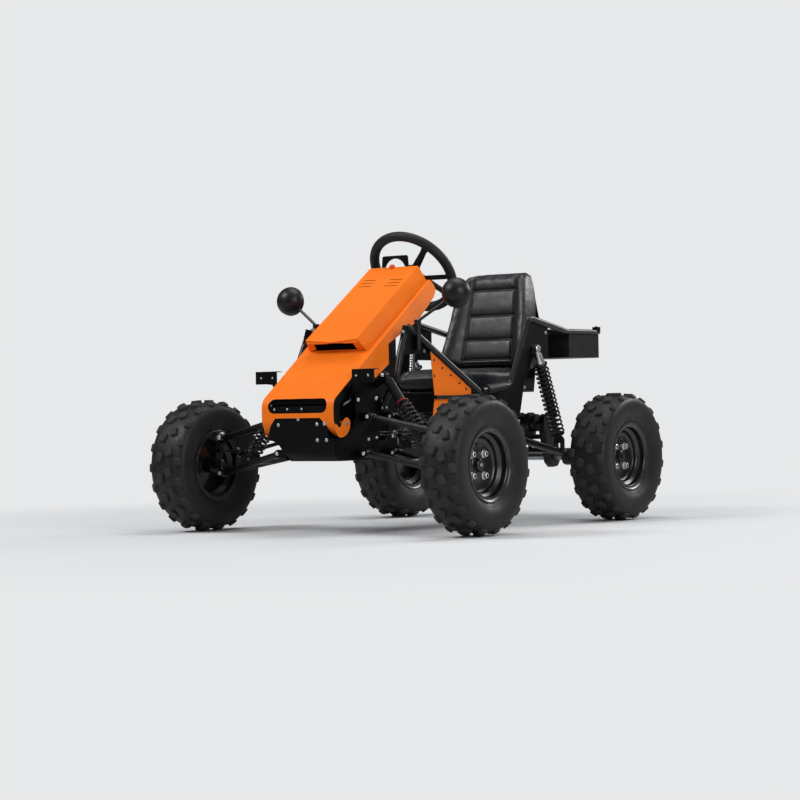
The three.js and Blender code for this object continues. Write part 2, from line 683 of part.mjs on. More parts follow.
function lowerShaft() {
  const start = rackCentre.clone().addScaledVector(shaftUp, TOWER.pinionStart);
  const rimBottom = joint.clone().addScaledVector(shaftUp, -COUPLING_R);
  const rimTop = joint.clone().addScaledVector(shaftUp, BALL.neck / 3);
  return geometryOf(carve(
    fuse(rod(start, rimBottom, LOWER_SHAFT_R, 8), rod(rimBottom, rimTop, COUPLING_R, 10)),
    ball(joint, socketRadius, BALL.sides),
  ));
}

function rackHousing() {
  const { y, z, bar, housing, half } = RACK;
  const towerEnd = rackCentre.clone().addScaledVector(shaftUp, TOWER.length);
  const foot = [-1, 1].map((side) => box(side * half * 0.9, side * half * 0.6, y - housing, y + housing,
    SHELF.top + GAP, z));
  return geometryOf(carve(
    fuse(rod(vec(-half, y, z), vec(half, y, z), housing, 10), rod(rackCentre, towerEnd, TOWER.radius, 10),
      foot),
    rod(vec(-half - OVERRUN, y, z), vec(half + OVERRUN, y, z), bore(bar, 10), 10),
    rod(rackCentre.clone().addScaledVector(shaftUp, TOWER.pinionStart - GAP * 2),
      rackCentre.clone().addScaledVector(shaftUp, TOWER.length + OVERRUN), bore(LOWER_SHAFT_R, 8), 8),
  ));
}

function rackBar() {
  const { y, z, bar, ball: end } = RACK;
  const parts = [rod(vec(-PIVOT.x, y, z), vec(PIVOT.x, y, z), bar, 10)];
  const spaces = [];
  [-1, 1].forEach((side) => {
    const centre = vec(side * PIVOT.x, y, z);
    const out = vec(side * Math.cos(ROD_REST), 0, -Math.sin(ROD_REST));
    parts.push(ball(centre, end, BALL.sides));
    spaces.push(...ballSpace(centre, out, rockingSocket(centre)));
  });
  return geometryOf(carve(fuse(parts), spaces));
}
const ROD_REST = Math.atan2(ARM.drop, ARM.span) / 3;

// Front chassis box: two side plates, a nose plate, a belly and a shelf for the rack
const SLOPE = { angle: 36.2, y: -572, z: 713 };
const slopeRise = Math.tan(SLOPE.angle * DEGREES);
const hoodTop = (y) => SLOPE.z + (y - SLOPE.y) * slopeRise;
const sheetDrop = SHEET / Math.cos(SLOPE.angle * DEGREES);
const NOSE = { y: -838, bend: 50, curl: 75, curlY: -763, curlZ: 455, crossbar: 453, halfWidth: 174 };
const noseCornerZ = hoodTop(NOSE.y);
const bendLeg = NOSE.bend * Math.tan((90 - SLOPE.angle) / 2 * DEGREES);
const bendCentre = { y: NOSE.y + NOSE.bend, z: noseCornerZ - bendLeg };
const BOX = {
  outer: 170, inner: 165, rear: -420, bottom: 287, fold: 317, foldY: -800, step: 372, plateTop: 498,
  windowLow: 355, windowHigh: 420, windowFront: -535, windowRear: -480,
};
const SHELF = { top: 360, front: -540, rear: -475 };
const LAMP = { y: -730, inner: 184, outer: 290, bottom: 587, top: 637, flange: 32, postLow: 515,
  postWidth: 46 };

// Gaps between the side plate's front edge and the curled hood end
const CURL_GAPS = 6;

function sidePlateOutline() {
  const { rear, bottom, fold, foldY, step } = BOX;
  const under = sheetDrop + GAP;
  const clear = GAP * CURL_GAPS;
  return [
    [foldY, bottom],
    [rear, bottom],
    [rear, hoodTop(rear) - under],
    ...arc(bendCentre.y, bendCentre.z, NOSE.bend - SHEET - GAP, 90 + SLOPE.angle, 180, 2),
    ...arc(NOSE.curlY, NOSE.curlZ, NOSE.curl - SHEET - clear, 180, 259, 3),
    [NOSE.curlY - OVERRUN, step],
    [NOSE.y + PLATE, step],
    [NOSE.y + PLATE, fold],
  ];
}

// Points of the opening beside the nose, as shares of the way from its front low corner
const NOTCH = { front: -797, rear: -690, low: 415, high: 590 };
const NOTCH_SHARES = [[0, 0.18], [0.2, 0], [0.85, 0], [1, 0.2], [1, 1], [0.86, 0.97], [0.03, 0.5]];

function frontBox() {
  const { outer, inner, rear, bottom, fold, foldY, step, plateTop } = BOX;
  const notch = NOTCH_SHARES.map(([along, up]) => [
    NOTCH.front + (NOTCH.rear - NOTCH.front) * along, NOTCH.low + (NOTCH.high - NOTCH.low) * up]);
  const parts = [];
  const side = carve(
    sidePlate(sidePlateOutline(), inner, outer),
    sidePlate(notch, inner - OVERRUN, outer + OVERRUN),
    box(inner - OVERRUN, outer + OVERRUN, BOX.windowFront, BOX.windowRear, BOX.windowLow, BOX.windowHigh),
  );
  parts.push(side, ...chassisFittings());
  const left = geometryOf(fuse(parts));
  const face = NOSE.y + SHEET + GAP * 2;
  const nose = facePlate([
    [-outer, fold], [outer, fold], [outer, step], [LEG.tip - GAP * 3, step], [LEG.tip - GAP * 3, LEG.tipZ],
    [LEG.knee - GAP * 3, LEG.kneeZ], [LEG.crotch - GAP * 3, NOSE.crossbar], [inner, NOSE.crossbar + SHEET],
    [inner, plateTop], [-inner, plateTop], [-inner, NOSE.crossbar + SHEET], [-LEG.crotch + GAP * 3,
    NOSE.crossbar],
    [-LEG.knee + GAP * 3, LEG.kneeZ], [-LEG.tip + GAP * 3, LEG.tipZ], [-LEG.tip + GAP * 3, step], [-outer,
    step],
  ], face + PLATE, face);
  const innerFold = sidePlate([
    [face, fold + OVERRUN], [face + PLATE, fold + OVERRUN], [foldY + PLATE, bottom + PLATE], [rear,
    bottom + PLATE],
    [rear, bottom], [foldY, bottom], [face, fold],
  ], -outer, outer);
  const shelf = box(-inner - OVERRUN / 2, inner + OVERRUN / 2, SHELF.front, SHELF.rear, SHELF.top - PLATE,
    SHELF.top);
  return geometryOf(fuse(solid(left), solid(mirrored(left)), nose, innerFold, shelf));
}

const LEG = { crotch: 110, knee: 135, kneeZ: 425, tip: 148, tipZ: 383 };

// Ears, pivot bolts and the lamp bracket on the left side plate
function chassisFittings() {
  const { lowerZ, upperZ, lowerFront, lowerRear, upperFront, upperRear } = ARM;
  const parts = [
    ...pivotEars(PIVOT.x, lowerFront, lowerZ, PIVOT.half),
    ...pivotEars(PIVOT.x, lowerRear, lowerZ, PIVOT.half),
    ...pivotEars(PIVOT.x, upperFront, upperZ, PIVOT.half),
    ...pivotEars(PIVOT.x, upperRear, upperZ, PIVOT.half),
    ...pivotEars(SHOCK.topX, SHOCK.y, SHOCK.topZ, SHOCK.eyeHalf, shockEarOutline()),
  ];
  const { y, inner, outer, bottom, top, flange, postLow, postWidth } = LAMP;
  const root = BOX.inner + SHEET;
  const lamp = facePlate([
    [root, postLow], [root, postLow + postWidth], [inner, bottom], [inner, top], [outer, top],
    [outer, bottom], [(inner + outer) / 2, bottom], [inner + postWidth / 2, bottom - SHEET],
  ], y + SHEET, y);
  parts.push(lamp, box(inner, outer, y, y + flange, top - SHEET, top));
  return parts;
}

// The shock's ears rise outside the hood flange from a root below it
function shockEarOutline() {
  const root = BOX.inner + SHEET;
  const { topX: x, topZ: z } = SHOCK;
  return [[root, z - PIVOT.ear * 3.2], ...arc(x, z, PIVOT.ear, -60, 170, 3), [x - PIVOT.ear * 1.4,
    z - PIVOT.ear],
    [root, z - PIVOT.ear * 1.1]];
}

function pivotEars(x, y, z, half, shape = null) {
  const root = BOX.inner + SHEET;
  const outline = shape ?? [[root, z - PIVOT.ear], ...arc(x, z, PIVOT.ear, -90, 90, 3), [root,
    z + PIVOT.ear]];
  const parts = [];
  [-1, 1].forEach((side) => {
    const near = y + side * (half + GAP);
    const far = near + side * PLATE;
    parts.push(facePlate(outline, Math.max(near, far), Math.min(near, far)));
  });
  parts.push(rod(vec(x, y - half - PLATE, z), vec(x, y + half + PLATE, z), BOLT_R, PIVOT.sides));
  return parts;
}

function steering() {
  node('steering_wheel', steeringWheel(), 'grip');
  node('steering_column', steeringColumn(), 'black');
  node('lower_steering_shaft', lowerShaft(), 'steel');
  node('rack_housing', rackHousing(), 'black');
  node('rack_bar', rackBar(), 'steel');
  node('front_chassis_box', frontBox(), 'black');
}

// Hood: one sloping sheet with splayed side flanges, a bent nose with a slot, and two curling hooks
const HOOD = {
  back: 481, half: 172, flange: 88, splay: 15, slotHalf: 141, slotLow: 473.5, slotHigh: 525, curlTurn: 76,
};
const slopeDown = vec(0, -Math.cos(SLOPE.angle * DEGREES), -Math.sin(SLOPE.angle * DEGREES));
const slopeOut = vec(0, -Math.sin(SLOPE.angle * DEGREES), Math.cos(SLOPE.angle * DEGREES));
const slopeOrigin = vec(0, SLOPE.y, SLOPE.z);
const onSlope = (x, down, out) => slopeOrigin.clone()
  .addScaledVector(slopeDown, down)
  .addScaledVector(slopeOut, out)
  .setX(x);

// Flange outline: share of the hood's back length down the slope, share of the flange depth
const FLANGE_SHARES = [
  [-1, 0], [-0.998, 0.36], [-0.973, 0.57], [-0.915, 0.68], [-0.603, 0.8], [-0.17, 0.375], [-0.044, 1],
  [0.166, 0.91], [0.166, 0.3], [0.155, 0],
];
// Hook cheek in the side plane, as shares of the curl radius about the curl centre (along Y, along Z)
const HOOK_SHARES = [
  [-0.86, -0.3], [-0.79, -0.7], [-0.62, -0.96], [-0.46, -1.05], [-0.18, -1.03], [0.12, -0.89], [0.34, -0.66],
  [0.42, -0.4], [0.4, -0.19], [0.25, -0.06], [0.09, -0.03], [-0.08, -0.12], [-0.18, -0.22], [-0.34, -0.49],
  [-0.5, -0.56], [-0.66, -0.42],
];

function hoodPanel() {
  const { back, half, flange, splay, slotHalf, slotLow, slotHigh, curlTurn } = HOOD;
  const start = onSlope(0, -back, 0);
  const under = onSlope(0, -back, -SHEET);
  const outer = [
    [start.y, start.z],
    ...arc(bendCentre.y, bendCentre.z, NOSE.bend, 90 + SLOPE.angle, 180, 4),
    ...arc(NOSE.curlY, NOSE.curlZ, NOSE.curl, 180, 180 + curlTurn, 4),
  ];
  const inner = [
    [under.y, under.z],
    ...arc(bendCentre.y, bendCentre.z, NOSE.bend - SHEET, 90 + SLOPE.angle, 180, 4),
    ...arc(NOSE.curlY, NOSE.curlZ, NOSE.curl - SHEET, 180, 180 + curlTurn, 4),
  ];
  const ribbon = sidePlate([...outer, ...inner.reverse()], -NOSE.halfWidth, NOSE.halfWidth);
  const low = NOSE.curlZ - NOSE.curl * 2;
  const between = facePlate([
    [-LEG.crotch, NOSE.crossbar], [-LEG.knee, LEG.kneeZ], [-LEG.tip, LEG.tipZ], [-LEG.tip, low],
    [LEG.tip, low], [LEG.tip, LEG.tipZ], [LEG.knee, LEG.kneeZ], [LEG.crotch, NOSE.crossbar],
  ], NOSE.curlY + NOSE.curl, NOSE.y - OVERRUN);
  const slotRadius = (slotHigh - slotLow) / 2;
  const slotMiddle = (slotHigh + slotLow) / 2;
  const slot = facePlate([
    ...arc(slotHalf - slotRadius, slotMiddle, slotRadius, -90, 90, 6),
    ...arc(slotRadius - slotHalf, slotMiddle, slotRadius, 90, 270, 6),
  ], NOSE.y + NOSE.bend, NOSE.y - OVERRUN);
  const sides = [1, -1].flatMap((hand) => {
    const outward = slopeOut.clone().multiplyScalar(-Math.cos(splay * DEGREES));
    outward.x = Math.sin(splay * DEGREES);
    const outline = FLANGE_SHARES.map(([along, deep]) => [along * back, deep * flange]);
    const skirt = slab(outline, SHEET, onSlope(half, 0, 0), slopeDown, outward);
    const cheek = sidePlate(HOOK_SHARES.map(([along, up]) => [
      NOSE.curlY + along * NOSE.curl, NOSE.curlZ + up * NOSE.curl]), half - SHEET / 3, half + SHEET);
    const boltY = NOSE.curlY + NOSE.curl * 0.08;
    const boltZ = NOSE.curlZ - NOSE.curl * 0.33;
    const flank = fuse(skirt, cheek, boltHead(vec(half + SHEET, boltY, boltZ), X_AXIS, BOLT_R, SHEET));
    return hand > 0 ? [flank] : [solid(mirrored(geometryOf(flank)))];
  });
  return geometryOf(fuse(carve(ribbon, between, slot), sides));
}

// Raised box on the hood, with an overhanging front, an intake and louvre slots
const RAISED = {
  lidBack: 120, lidFront: 126.4, footBack: 162, footFront: 140, rearY: -190, lidRearZ: 1056, lipY: -617,
  lipZ: 756, dip: 10, footY: -573, intakeTop: 95, intakeBottom: 98, intakeLow: 716, intakeHigh: 740,
  slotInner: 33, slotOuter: 98, slotWidth: 5, slotPitch: 18, slotStart: -266, slots: 3,
};

// Rings of the raised box from back to front, inset by a sheet for its inside
function raisedRings(inset) {
  const { lidBack, lidFront, footBack, footFront, rearY, lidRearZ, lipY, lipZ, dip, footY } = RAISED;
  const floor = (y) => hoodTop(y) + (inset > 0 ? -OVERRUN : GAP);
  const boxRing = (y, lidHalf, lidZ, footHalf, footAt, drop) => [
    vec(-footHalf + inset, footAt, floor(footAt)),
    vec(footHalf - inset, footAt, floor(footAt)),
    vec(lidHalf - inset, y, lidZ - inset),
    vec(0, y, lidZ - inset - drop),
    vec(-lidHalf + inset, y, lidZ - inset),
  ];
  return [
    boxRing(rearY - inset, lidBack, lidRearZ, footBack, rearY - inset, 0),
    boxRing(lipY + inset, lidFront, lipZ, footFront, footY + inset, dip),
  ];
}

function raisedBox() {
  const { intakeTop, intakeBottom, intakeLow, intakeHigh, lipY, footY } = RAISED;
  const { slotInner, slotOuter, slotWidth, slotPitch, slotStart, slots } = RAISED;
  const intake = facePlate([
    [-intakeBottom, intakeLow], [intakeBottom, intakeLow], [intakeTop, intakeHigh], [-intakeTop, intakeHigh],
  ], footY + OVERRUN, lipY - OVERRUN);
  const cuts = [intake];
  for (let i = 0; i < slots; i += 1) {
    const y = slotStart - i * slotPitch;
    [-1, 1].forEach((side) => {
      const z = hoodTop(y);
      cuts.push(box(side * slotInner, side * slotOuter, y - slotWidth / 2, y + slotWidth / 2,
        z + HOOD.flange / 4, z + HOOD.flange * 2));
    });
  }
  return geometryOf(carve(loft(raisedRings(0)), loft(raisedRings(SHEET)), cuts));
}

// Dash bracket behind the hood: crossbar, arch, column bush and two legs down to the side plates
const DASH = {
  thick: 4, half: 268, low: 996, lowHalf: 165, legTop: 970, legPad: 14, high: 1015, archHalf: 70,
  archTop: 1103, archHole: 48, archHoleTop: 1082,
  bush: 18, bushLength: 56, legX: 154.7, legR: 10, legLow: 786, legLowY: -440, hangerHalf: 15,
};

function dashBracket() {
  const { thick, half, low, lowHalf, legTop, legPad, high, archHalf, archTop, archHole, archHoleTop } = DASH;
  const { bush, bushLength } = DASH;
  const y = onSlope(0, -HOOD.back, -SHEET).y + GAP + thick;
  const reach = (wheelCentre.y - y + thick / 2) / -columnDown.y;
  const bushAt = wheelCentre.clone().addScaledVector(columnDown, reach);
  const end = (side) => bushAt.clone().addScaledVector(columnDown, side * bushLength / 2);
  const front = y - thick;
  const flat = facePlate([
    [-half, low], [-lowHalf, low], [-lowHalf, legTop - legPad], [lowHalf, legTop - legPad], [lowHalf, low],
    [half, low], [half, high], [archHalf, high], [archHalf * 0.9, archTop - OVERRUN],
    [archHalf * 0.8, archTop], [-archHalf * 0.8, archTop], [-archHalf * 0.9, archTop - OVERRUN],
    [-archHalf, high], [-half, high],
  ], y, front);
  const archWindow = facePlate(arc(0, high, archHole, 0, 180, 6).map(([x, z]) => [
    x, high + (z - high) * (archHoleTop - high) / archHole]), y + OVERRUN, front - OVERRUN);
  const hanger = facePlate([[-DASH.hangerHalf, bushAt.z], [DASH.hangerHalf, bushAt.z],
    [DASH.hangerHalf * 2, low + OVERRUN], [-DASH.hangerHalf * 2, low + OVERRUN]], y, front);
  const legs = [-1, 1].map((side) => tube([
    vec(side * DASH.legX, DASH.legLowY, DASH.legLow), vec(side * DASH.legX, y - thick / 2, legTop)],
  DASH.legR));
  return geometryOf(carve(
    fuse(carve(flat, archWindow), hanger, rod(end(-1), end(1), bush, 10), legs),
    rod(end(-1.2), end(1.2), bore(COLUMN_R, 10), 10),
  ));
}

function bodywork() {
  node('hood_panel', hoodPanel(), 'orange');
  node('hood_box', raisedBox(), 'orange');
  node('dash_bracket', dashBracket(), 'black');
}

// Side frames: front upright, gusset and the tube that runs down beside the cockpit
const SIDE = {
  footY: -524, footZ: 500, footHalf: 21, kneeX: 250, kneeY: -528, kneeZ: 606, neckX: 245, neckY: -500,
  neckZ: 690,
  topX: 240, topY: -462, topZ: 768, tubeX: 237, tubeY: -430, tubeZ: 803, endX: 295, endY: -14, endZ: 539,
  gussetX: 240, gussetThick: 5, bend: 30, railZ: 525, railHalf: 7, railFront: -290, railOut: 12,
};
// Gusset corners, as shares of the way back and up from its front low corner
const GUSSET = { front: -492, rear: -285, low: 700, high: 808 };
const GUSSET_SHARES = [[0, 0], [0.32, -0.06], [1, 0.02], [0.98, 0.14], [0.42, 0.92], [0.12, 1], [0.04, 0.6]];
const MIRROR = {
  baseX: 252, baseY: -385, baseZ: 804, peg: 6, pegLength: 20, pegBlock: 12, ring: 14, stalk: 6, headX: 412,
  headY: -343, headZ: 930, head: 57.5, dome: 40, lip: 10, sections: 14,
};

function sideFrame() {
  const s = SIDE;
  const padOuter = BOX.outer + GAP + PLATE * 2;
  const along = (x, y, z) => vec(x, y, z);
  const tubeEnd = vec(s.endX, s.endY, s.endZ);
  const tubeTop = vec(s.tubeX, s.tubeY, s.tubeZ);
  const beyond = tubeEnd.clone().add(tubeEnd.clone().sub(tubeTop).setLength(FRAME_TUBE_R * 2));
  const gusset = sidePlate(GUSSET_SHARES.map(([back, up]) => [
    GUSSET.front + (GUSSET.rear - GUSSET.front) * back, GUSSET.low + (GUSSET.high - GUSSET.low) * up,
  ]), s.gussetX - s.gussetThick / 2, s.gussetX + s.gussetThick / 2);
  const peg = MIRROR.baseZ + MIRROR.pegLength;
  const railEnd = s.endY - GAP / 2;
  const whole = fuse(
    tube([along(padOuter, s.footY, s.footZ), along(s.kneeX, s.kneeY, s.kneeZ), along(s.neckX, s.neckY,
      s.neckZ),
      along(s.topX, s.topY, s.topZ)], FRAME_TUBE_R, s.bend),
    box(BOX.outer + GAP, padOuter + OVERRUN, s.footY - s.footHalf, s.footY + s.footHalf, s.footZ - s.footHalf,
      s.footZ + s.footHalf),
    tube([tubeTop, beyond], FRAME_TUBE_R),
    gusset,
    rod(vec(MIRROR.baseX, MIRROR.baseY, GUSSET.low + FRAME_TUBE_R), vec(MIRROR.baseX, MIRROR.baseY,
      MIRROR.baseZ),
      MIRROR.pegBlock),
    rod(vec(MIRROR.baseX, MIRROR.baseY, MIRROR.baseZ - SHEET), vec(MIRROR.baseX, MIRROR.baseY, peg),
      MIRROR.peg),
    rail(),
  );
  const rearCut = box(0, s.endX * 2, railEnd, s.endY + s.endX, 0, s.endZ * 2);
  return geometryOf(carve(whole, rearCut));
}

// Horizontal rail outside the side panel, ending in the side tube
function rail() {
  const s = SIDE;
  const x = panelX(s.railFront) + SHEET + GAP * 2;
  const endX = panelX(s.endY) + SHEET + GAP * 2;
  return slab([[x, s.railFront], [x + s.railOut, s.railFront], [endX + s.railOut, s.endY + OVERRUN],
    [endX, s.endY + OVERRUN]], s.railHalf * 2, vec(0, 0, s.railZ - s.railHalf), X_AXIS, Y_AXIS);
}

// Side panels: a pierced sheet under the side tube, turned with it about the vertical
const PANEL = { frontX: 253, frontY: -306, rearX: 283, rearY: -70, low: 400, tubeClear: 18 };
const panelTurn = (PANEL.rearX - PANEL.frontX) / (PANEL.rearY - PANEL.frontY);
const panelX = (y) => PANEL.frontX + (y - PANEL.frontY) * panelTurn;

function sidePanel() {
  const tubeSlope = (SIDE.endZ - SIDE.tubeZ) / (SIDE.endY - SIDE.tubeY);
  const under = (y) => SIDE.tubeZ + (y - SIDE.tubeY) * tubeSlope - PANEL.tubeClear;
  const across = Math.hypot(1, panelTurn);
  const reach = (PANEL.rearY - PANEL.frontY) * across;
  const outline = [
    [0, under(PANEL.frontY)],
    [reach * 0.085, SIDE.railZ],
    [0, PANEL.low],
    [reach, PANEL.low],
    [reach, under(PANEL.rearY)],
  ];
  const along = vec(panelTurn, 1, 0).normalize();
  return geometryOf(slab(outline, SHEET, vec(PANEL.frontX, PANEL.frontY, 0), along, Z_AXIS));
}

function mirrorHead() {
  const m = MIRROR;
  const base = vec(m.baseX, m.baseY, m.baseZ);
  const ringBottom = m.baseZ + GAP;
  const ringTop = m.baseZ + m.pegLength + SHEET * 2;
  const head = vec(m.headX, m.headY, m.headZ);
  const profile = [
    [-m.lip, 0], [-m.lip, m.head * 0.94], [0, m.head], [m.lip, m.head * 0.97], [m.dome * 0.6, m.head * 0.78],
    [m.dome * 0.9, m.head * 0.42], [m.dome, 0],
  ];
  const whole = fuse(
    rod(base.clone().setZ(ringBottom), base.clone().setZ(ringTop), m.ring, PIVOT.sides),
    tube([base.clone().setZ(ringTop - m.stalk), head.clone().lerp(base, m.lip / m.headX)], m.stalk, 0, 6),
    turned(profile, vec(0, -1, 0), m.sections, head),
  );
  return geometryOf(carve(whole, rod(base.clone().setZ(m.baseZ - OVERRUN),
    base.clone().setZ(m.baseZ + m.pegLength + GAP), bore(m.peg, PIVOT.sides), PIVOT.sides)));
}

// Rear side frames: hoop tube with a hip bar, and the side plate that carries shock and swing pivots
const HOOP = {
  x: 300, hipZ: 550, footY: 192, footZ: 571, peakY: 341, peakZ: 852, endY: 617, endZ: 802, bend: 26, pad: 19,
  padFront: 20, padRear: 152, plateInner: 297, plateThick: 5, stub: 10,
};
const SWING = { pivotY: 130, pivotZ: 368, x: 320, half: 15, pivotR: 12, sleeve: 22, arm: 15 };
// Side plate corners, as shares of the way from the plate's front low corner to the hoop peak
const SIDE_PLATE = { front: 60, low: 330 };
const SIDE_PLATE_SHARES = [
  [0.47, 0.46], [1, 1], [1.53, 0.954], [1.53, 0.69], [1.12, 0.69], [0.855, 0.48], [0.74, 0.26], [0.5, 0],
  [0.14, 0], [0, 0.134], [0.14, 0.4],
];

function rearSideFrame(lever) {
  const h = HOOP;
  const start = SIDE.endY + GAP / 2;
  const corners = [
    vec(h.x, start, h.hipZ), vec(h.x, h.footY, h.footZ), vec(h.x, h.peakY, h.peakZ), vec(h.x, h.endY, h.endZ)
      .add(vec(0, h.endY - h.peakY, h.endZ - h.peakZ).setLength(FRAME_TUBE_R)),
  ];
  const hipAt = (y) => h.hipZ + (h.footZ - h.hipZ) * (y - start) / (h.footY - start);
  const outer = h.plateInner + h.plateThick;
  const plate = sidePlate(SIDE_PLATE_SHARES.map(([back, up]) => [
    SIDE_PLATE.front + (h.peakY - SIDE_PLATE.front) * back, SIDE_PLATE.low + (h.peakZ - SIDE_PLATE.low) * up,
  ]), h.plateInner, outer);
  const r = REAR_SHOCK;
  const stub = (y, z, inner, half, radius) => [
    rod(vec(h.plateInner + GAP, y, z), vec(inner + half + BOLT_HEAD, y, z), radius, PIVOT.sides),
    rod(vec(h.plateInner + GAP, y, z), vec(inner - half - GAP, y, z), radius + OVERRUN, PIVOT.sides),
    boltHead(vec(inner + half + GAP + BOLT_HEAD / 2, y, z), X_AXIS, radius + OVERRUN),
  ];
  const cut = box(0, h.x * 2, SIDE.endY - h.x, start, 0, h.peakZ);
  const parts = [
    tube(corners, FRAME_TUBE_R, h.bend),
    tube([vec(h.x, h.padFront, hipAt(h.padFront)), vec(h.x, h.padRear, hipAt(h.padRear))], h.pad),
    plate,
    ...stub(r.topY, r.topZ, r.x, r.eyeHalf, BOLT_R),
    ...stub(SWING.pivotY, SWING.pivotZ, SWING.x, SWING.half, SWING.pivotR),
  ];
  const rearCut = box(0, h.x * 2, h.endY, h.endY * 2, 0, h.peakZ);
  const whole = carve(fuse(parts), cut, rearCut);
  if (!lever) return geometryOf(whole);
  return geometryOf(fuse(solid(mirrored(geometryOf(whole))), leverPin()));
}

// Hand lever on the kart's right, on a pin that stands in from the side plate
const LEVER = {
  x: -250, y: 250, z: 545, half: 15, sleeve: 14, topY: 278, gripZ: 642, topZ: 745, arm: 8, grip: 13, ribs: 5,
};

function leverPin() {
  const root = -HOOP.plateInner - SHEET;
  const tip = LEVER.x + LEVER.half + GAP;
  return fuse(
    rod(vec(root, LEVER.y, LEVER.z), vec(tip, LEVER.y, LEVER.z), BOLT_R, PIVOT.sides),
    rod(vec(root, LEVER.y, LEVER.z), vec(LEVER.x - LEVER.half - GAP, LEVER.y, LEVER.z), BOLT_HEAD_R,
      PIVOT.sides),
    boltHead(vec(tip + BOLT_HEAD / 2, LEVER.y, LEVER.z), X_AXIS),
  );
}

function handLever() {
  const l = LEVER;
  const foot = vec(l.x, l.y, l.z);
  const grip = vec(l.x, l.topY - (l.topZ - l.gripZ) * 0.1, l.gripZ);
  const top = vec(l.x, l.topY, l.topZ);
  const way = top.clone().sub(grip);
  const profile = [[0, 0]];
  for (let i = 0; i < l.ribs; i += 1) {
    const at = way.length() * i / l.ribs;
    const pitch = way.length() / l.ribs;
    profile.push([at, l.grip * 0.8], [at + pitch * 0.5, l.grip]);
  }
  profile.push([way.length(), l.grip * 0.6], [way.length(), 0]);
  const whole = fuse(
    rod(vec(l.x - l.half, l.y, l.z), vec(l.x + l.half, l.y, l.z), l.sleeve, PIVOT.sides),
    tube([foot, grip.clone().lerp(top, 0.1)], l.arm, 0, 8),
    turned(profile, way.clone().normalize(), 8, grip),
  );
  const reach = l.half + OVERRUN;
  return geometryOf(carve(whole, rod(vec(l.x - reach, l.y, l.z), vec(l.x + reach, l.y, l.z),
    bore(BOLT_R, PIVOT.sides), PIVOT.sides)));
}

function sideStructure() {
  pair('side_frame', sideFrame(), 'black');
  pair('side_panel', sidePanel(), 'orange');
  pair('mirror', mirrorHead(), 'black');
  node('rear_side_frame_left', rearSideFrame(false), 'black');
  node('rear_side_frame_right', rearSideFrame(true), 'black');
  node('hand_lever', handLever(), 'steel');
}

// Rear rack: an open box of sheet hung on two rails and a crossbar
const RACK_BOX = {
  front: 660, rear: 905, half: 300, bottom: 688, top: 792, railZ: 800, railR: 10, crossY: 628, lug: 26,
  lugTop: 822, lugInner: 284,
};

function rearRack() {
  const k = RACK_BOX;
  const start = HOOP.endY + GAP;
  const rails = [-1, 1].flatMap((side) => [
    tube([vec(side * HOOP.x, start, k.railZ), vec(side * HOOP.x, k.rear, k.railZ)], k.railR),
    box(side * k.lugInner, side * (HOOP.x + k.railR), k.rear - k.lug, k.rear, k.railZ, k.lugTop),
  ]);
  const tray = carve(box(-k.half, k.half, k.front, k.rear, k.bottom, k.top),
    box(-k.half + SHEET, k.half - SHEET, k.front + SHEET, k.rear - SHEET, k.bottom + SHEET, k.top + OVERRUN));
  const cross = rod(vec(-HOOP.x, k.crossY, k.railZ), vec(HOOP.x, k.crossY, k.railZ), k.railR);
  return geometryOf(fuse(tray, rails, cross));
}

// Floor frame: two rails, a pan, the swing pivot tube and the seat supports
const FLOOR = {
  railInner: 170.3, railOuter: 206, front: -440, rear: 152, bottom: 288, railTop: 324, panTop: 291,
  panRear: 60,
  pivotTube: 20, bracketFront: 108, postX: 150, postR: 11, seatRear: 400,
};
const BATTERY = { half: 185, front: 60, rear: 440, bottom: 465, top: 543, lid: 6 };
const PEDAL = {
  x: 110, y: -340, z: 330, half: 12, sleeve: 11, ear: 15, armTopY: -352, armTopZ: 450, arm: 7, pad: 32,
  padLow: 412, padHigh: 474, padThick: 8, lean: 6,
};

function floorFrame() {
  const f = FLOOR;
  const seatZ = BATTERY.bottom - GAP - f.postR;
  const rails = [-1, 1].flatMap((side) => [
    box(side * f.railInner, side * f.railOuter, f.front, f.rear, f.bottom, f.railTop),
    box(side * (f.railInner + PLATE), side * f.railOuter, f.bracketFront, f.rear, f.bottom, SWING.pivotZ),
    tube([vec(side * f.postX, SWING.pivotY, SWING.pivotZ),
      vec(side * f.postX, SWING.pivotY, BATTERY.bottom - GAP)], f.postR),
    tube([vec(side * f.postX, SWING.pivotY, SWING.pivotZ), vec(side * f.postX, f.seatRear, seatZ)], f.postR),
    ...pedalEars(side),
  ]);
  const pan = box(-f.railInner - PLATE, f.railInner + PLATE, BOX.rear + GAP, f.panRear, f.bottom, f.panTop);
  const tubeEnd = HOOP.plateInner - GAP;
  return geometryOf(fuse(
    rails, pan,
    rod(vec(-tubeEnd, SWING.pivotY, SWING.pivotZ), vec(tubeEnd, SWING.pivotY, SWING.pivotZ), f.pivotTube, 10),
    rod(vec(-f.postX - f.postR, f.seatRear, seatZ), vec(f.postX + f.postR, f.seatRear, seatZ), f.postR),
  ));
}

function pedalEars(side) {
  const p = PEDAL;
  const outline = [[p.y - p.ear, FLOOR.panTop - SHEET / 2], [p.y + p.ear, FLOOR.panTop - SHEET / 2],
    ...arc(p.y, p.z, p.ear, 0, 180, 3)];
  const parts = [-1, 1].flatMap((hand) => {
    const inner = side * p.x + hand * (p.half + GAP);
    const outer = inner + hand * PLATE;
    return [sidePlate(outline, Math.min(inner, outer), Math.max(inner, outer))];
  });
  const reach = p.half + PLATE;
  parts.push(rod(vec(side * p.x - reach, p.y, p.z), vec(side * p.x + reach, p.y, p.z), BOLT_R, PIVOT.sides));
  return parts;
}

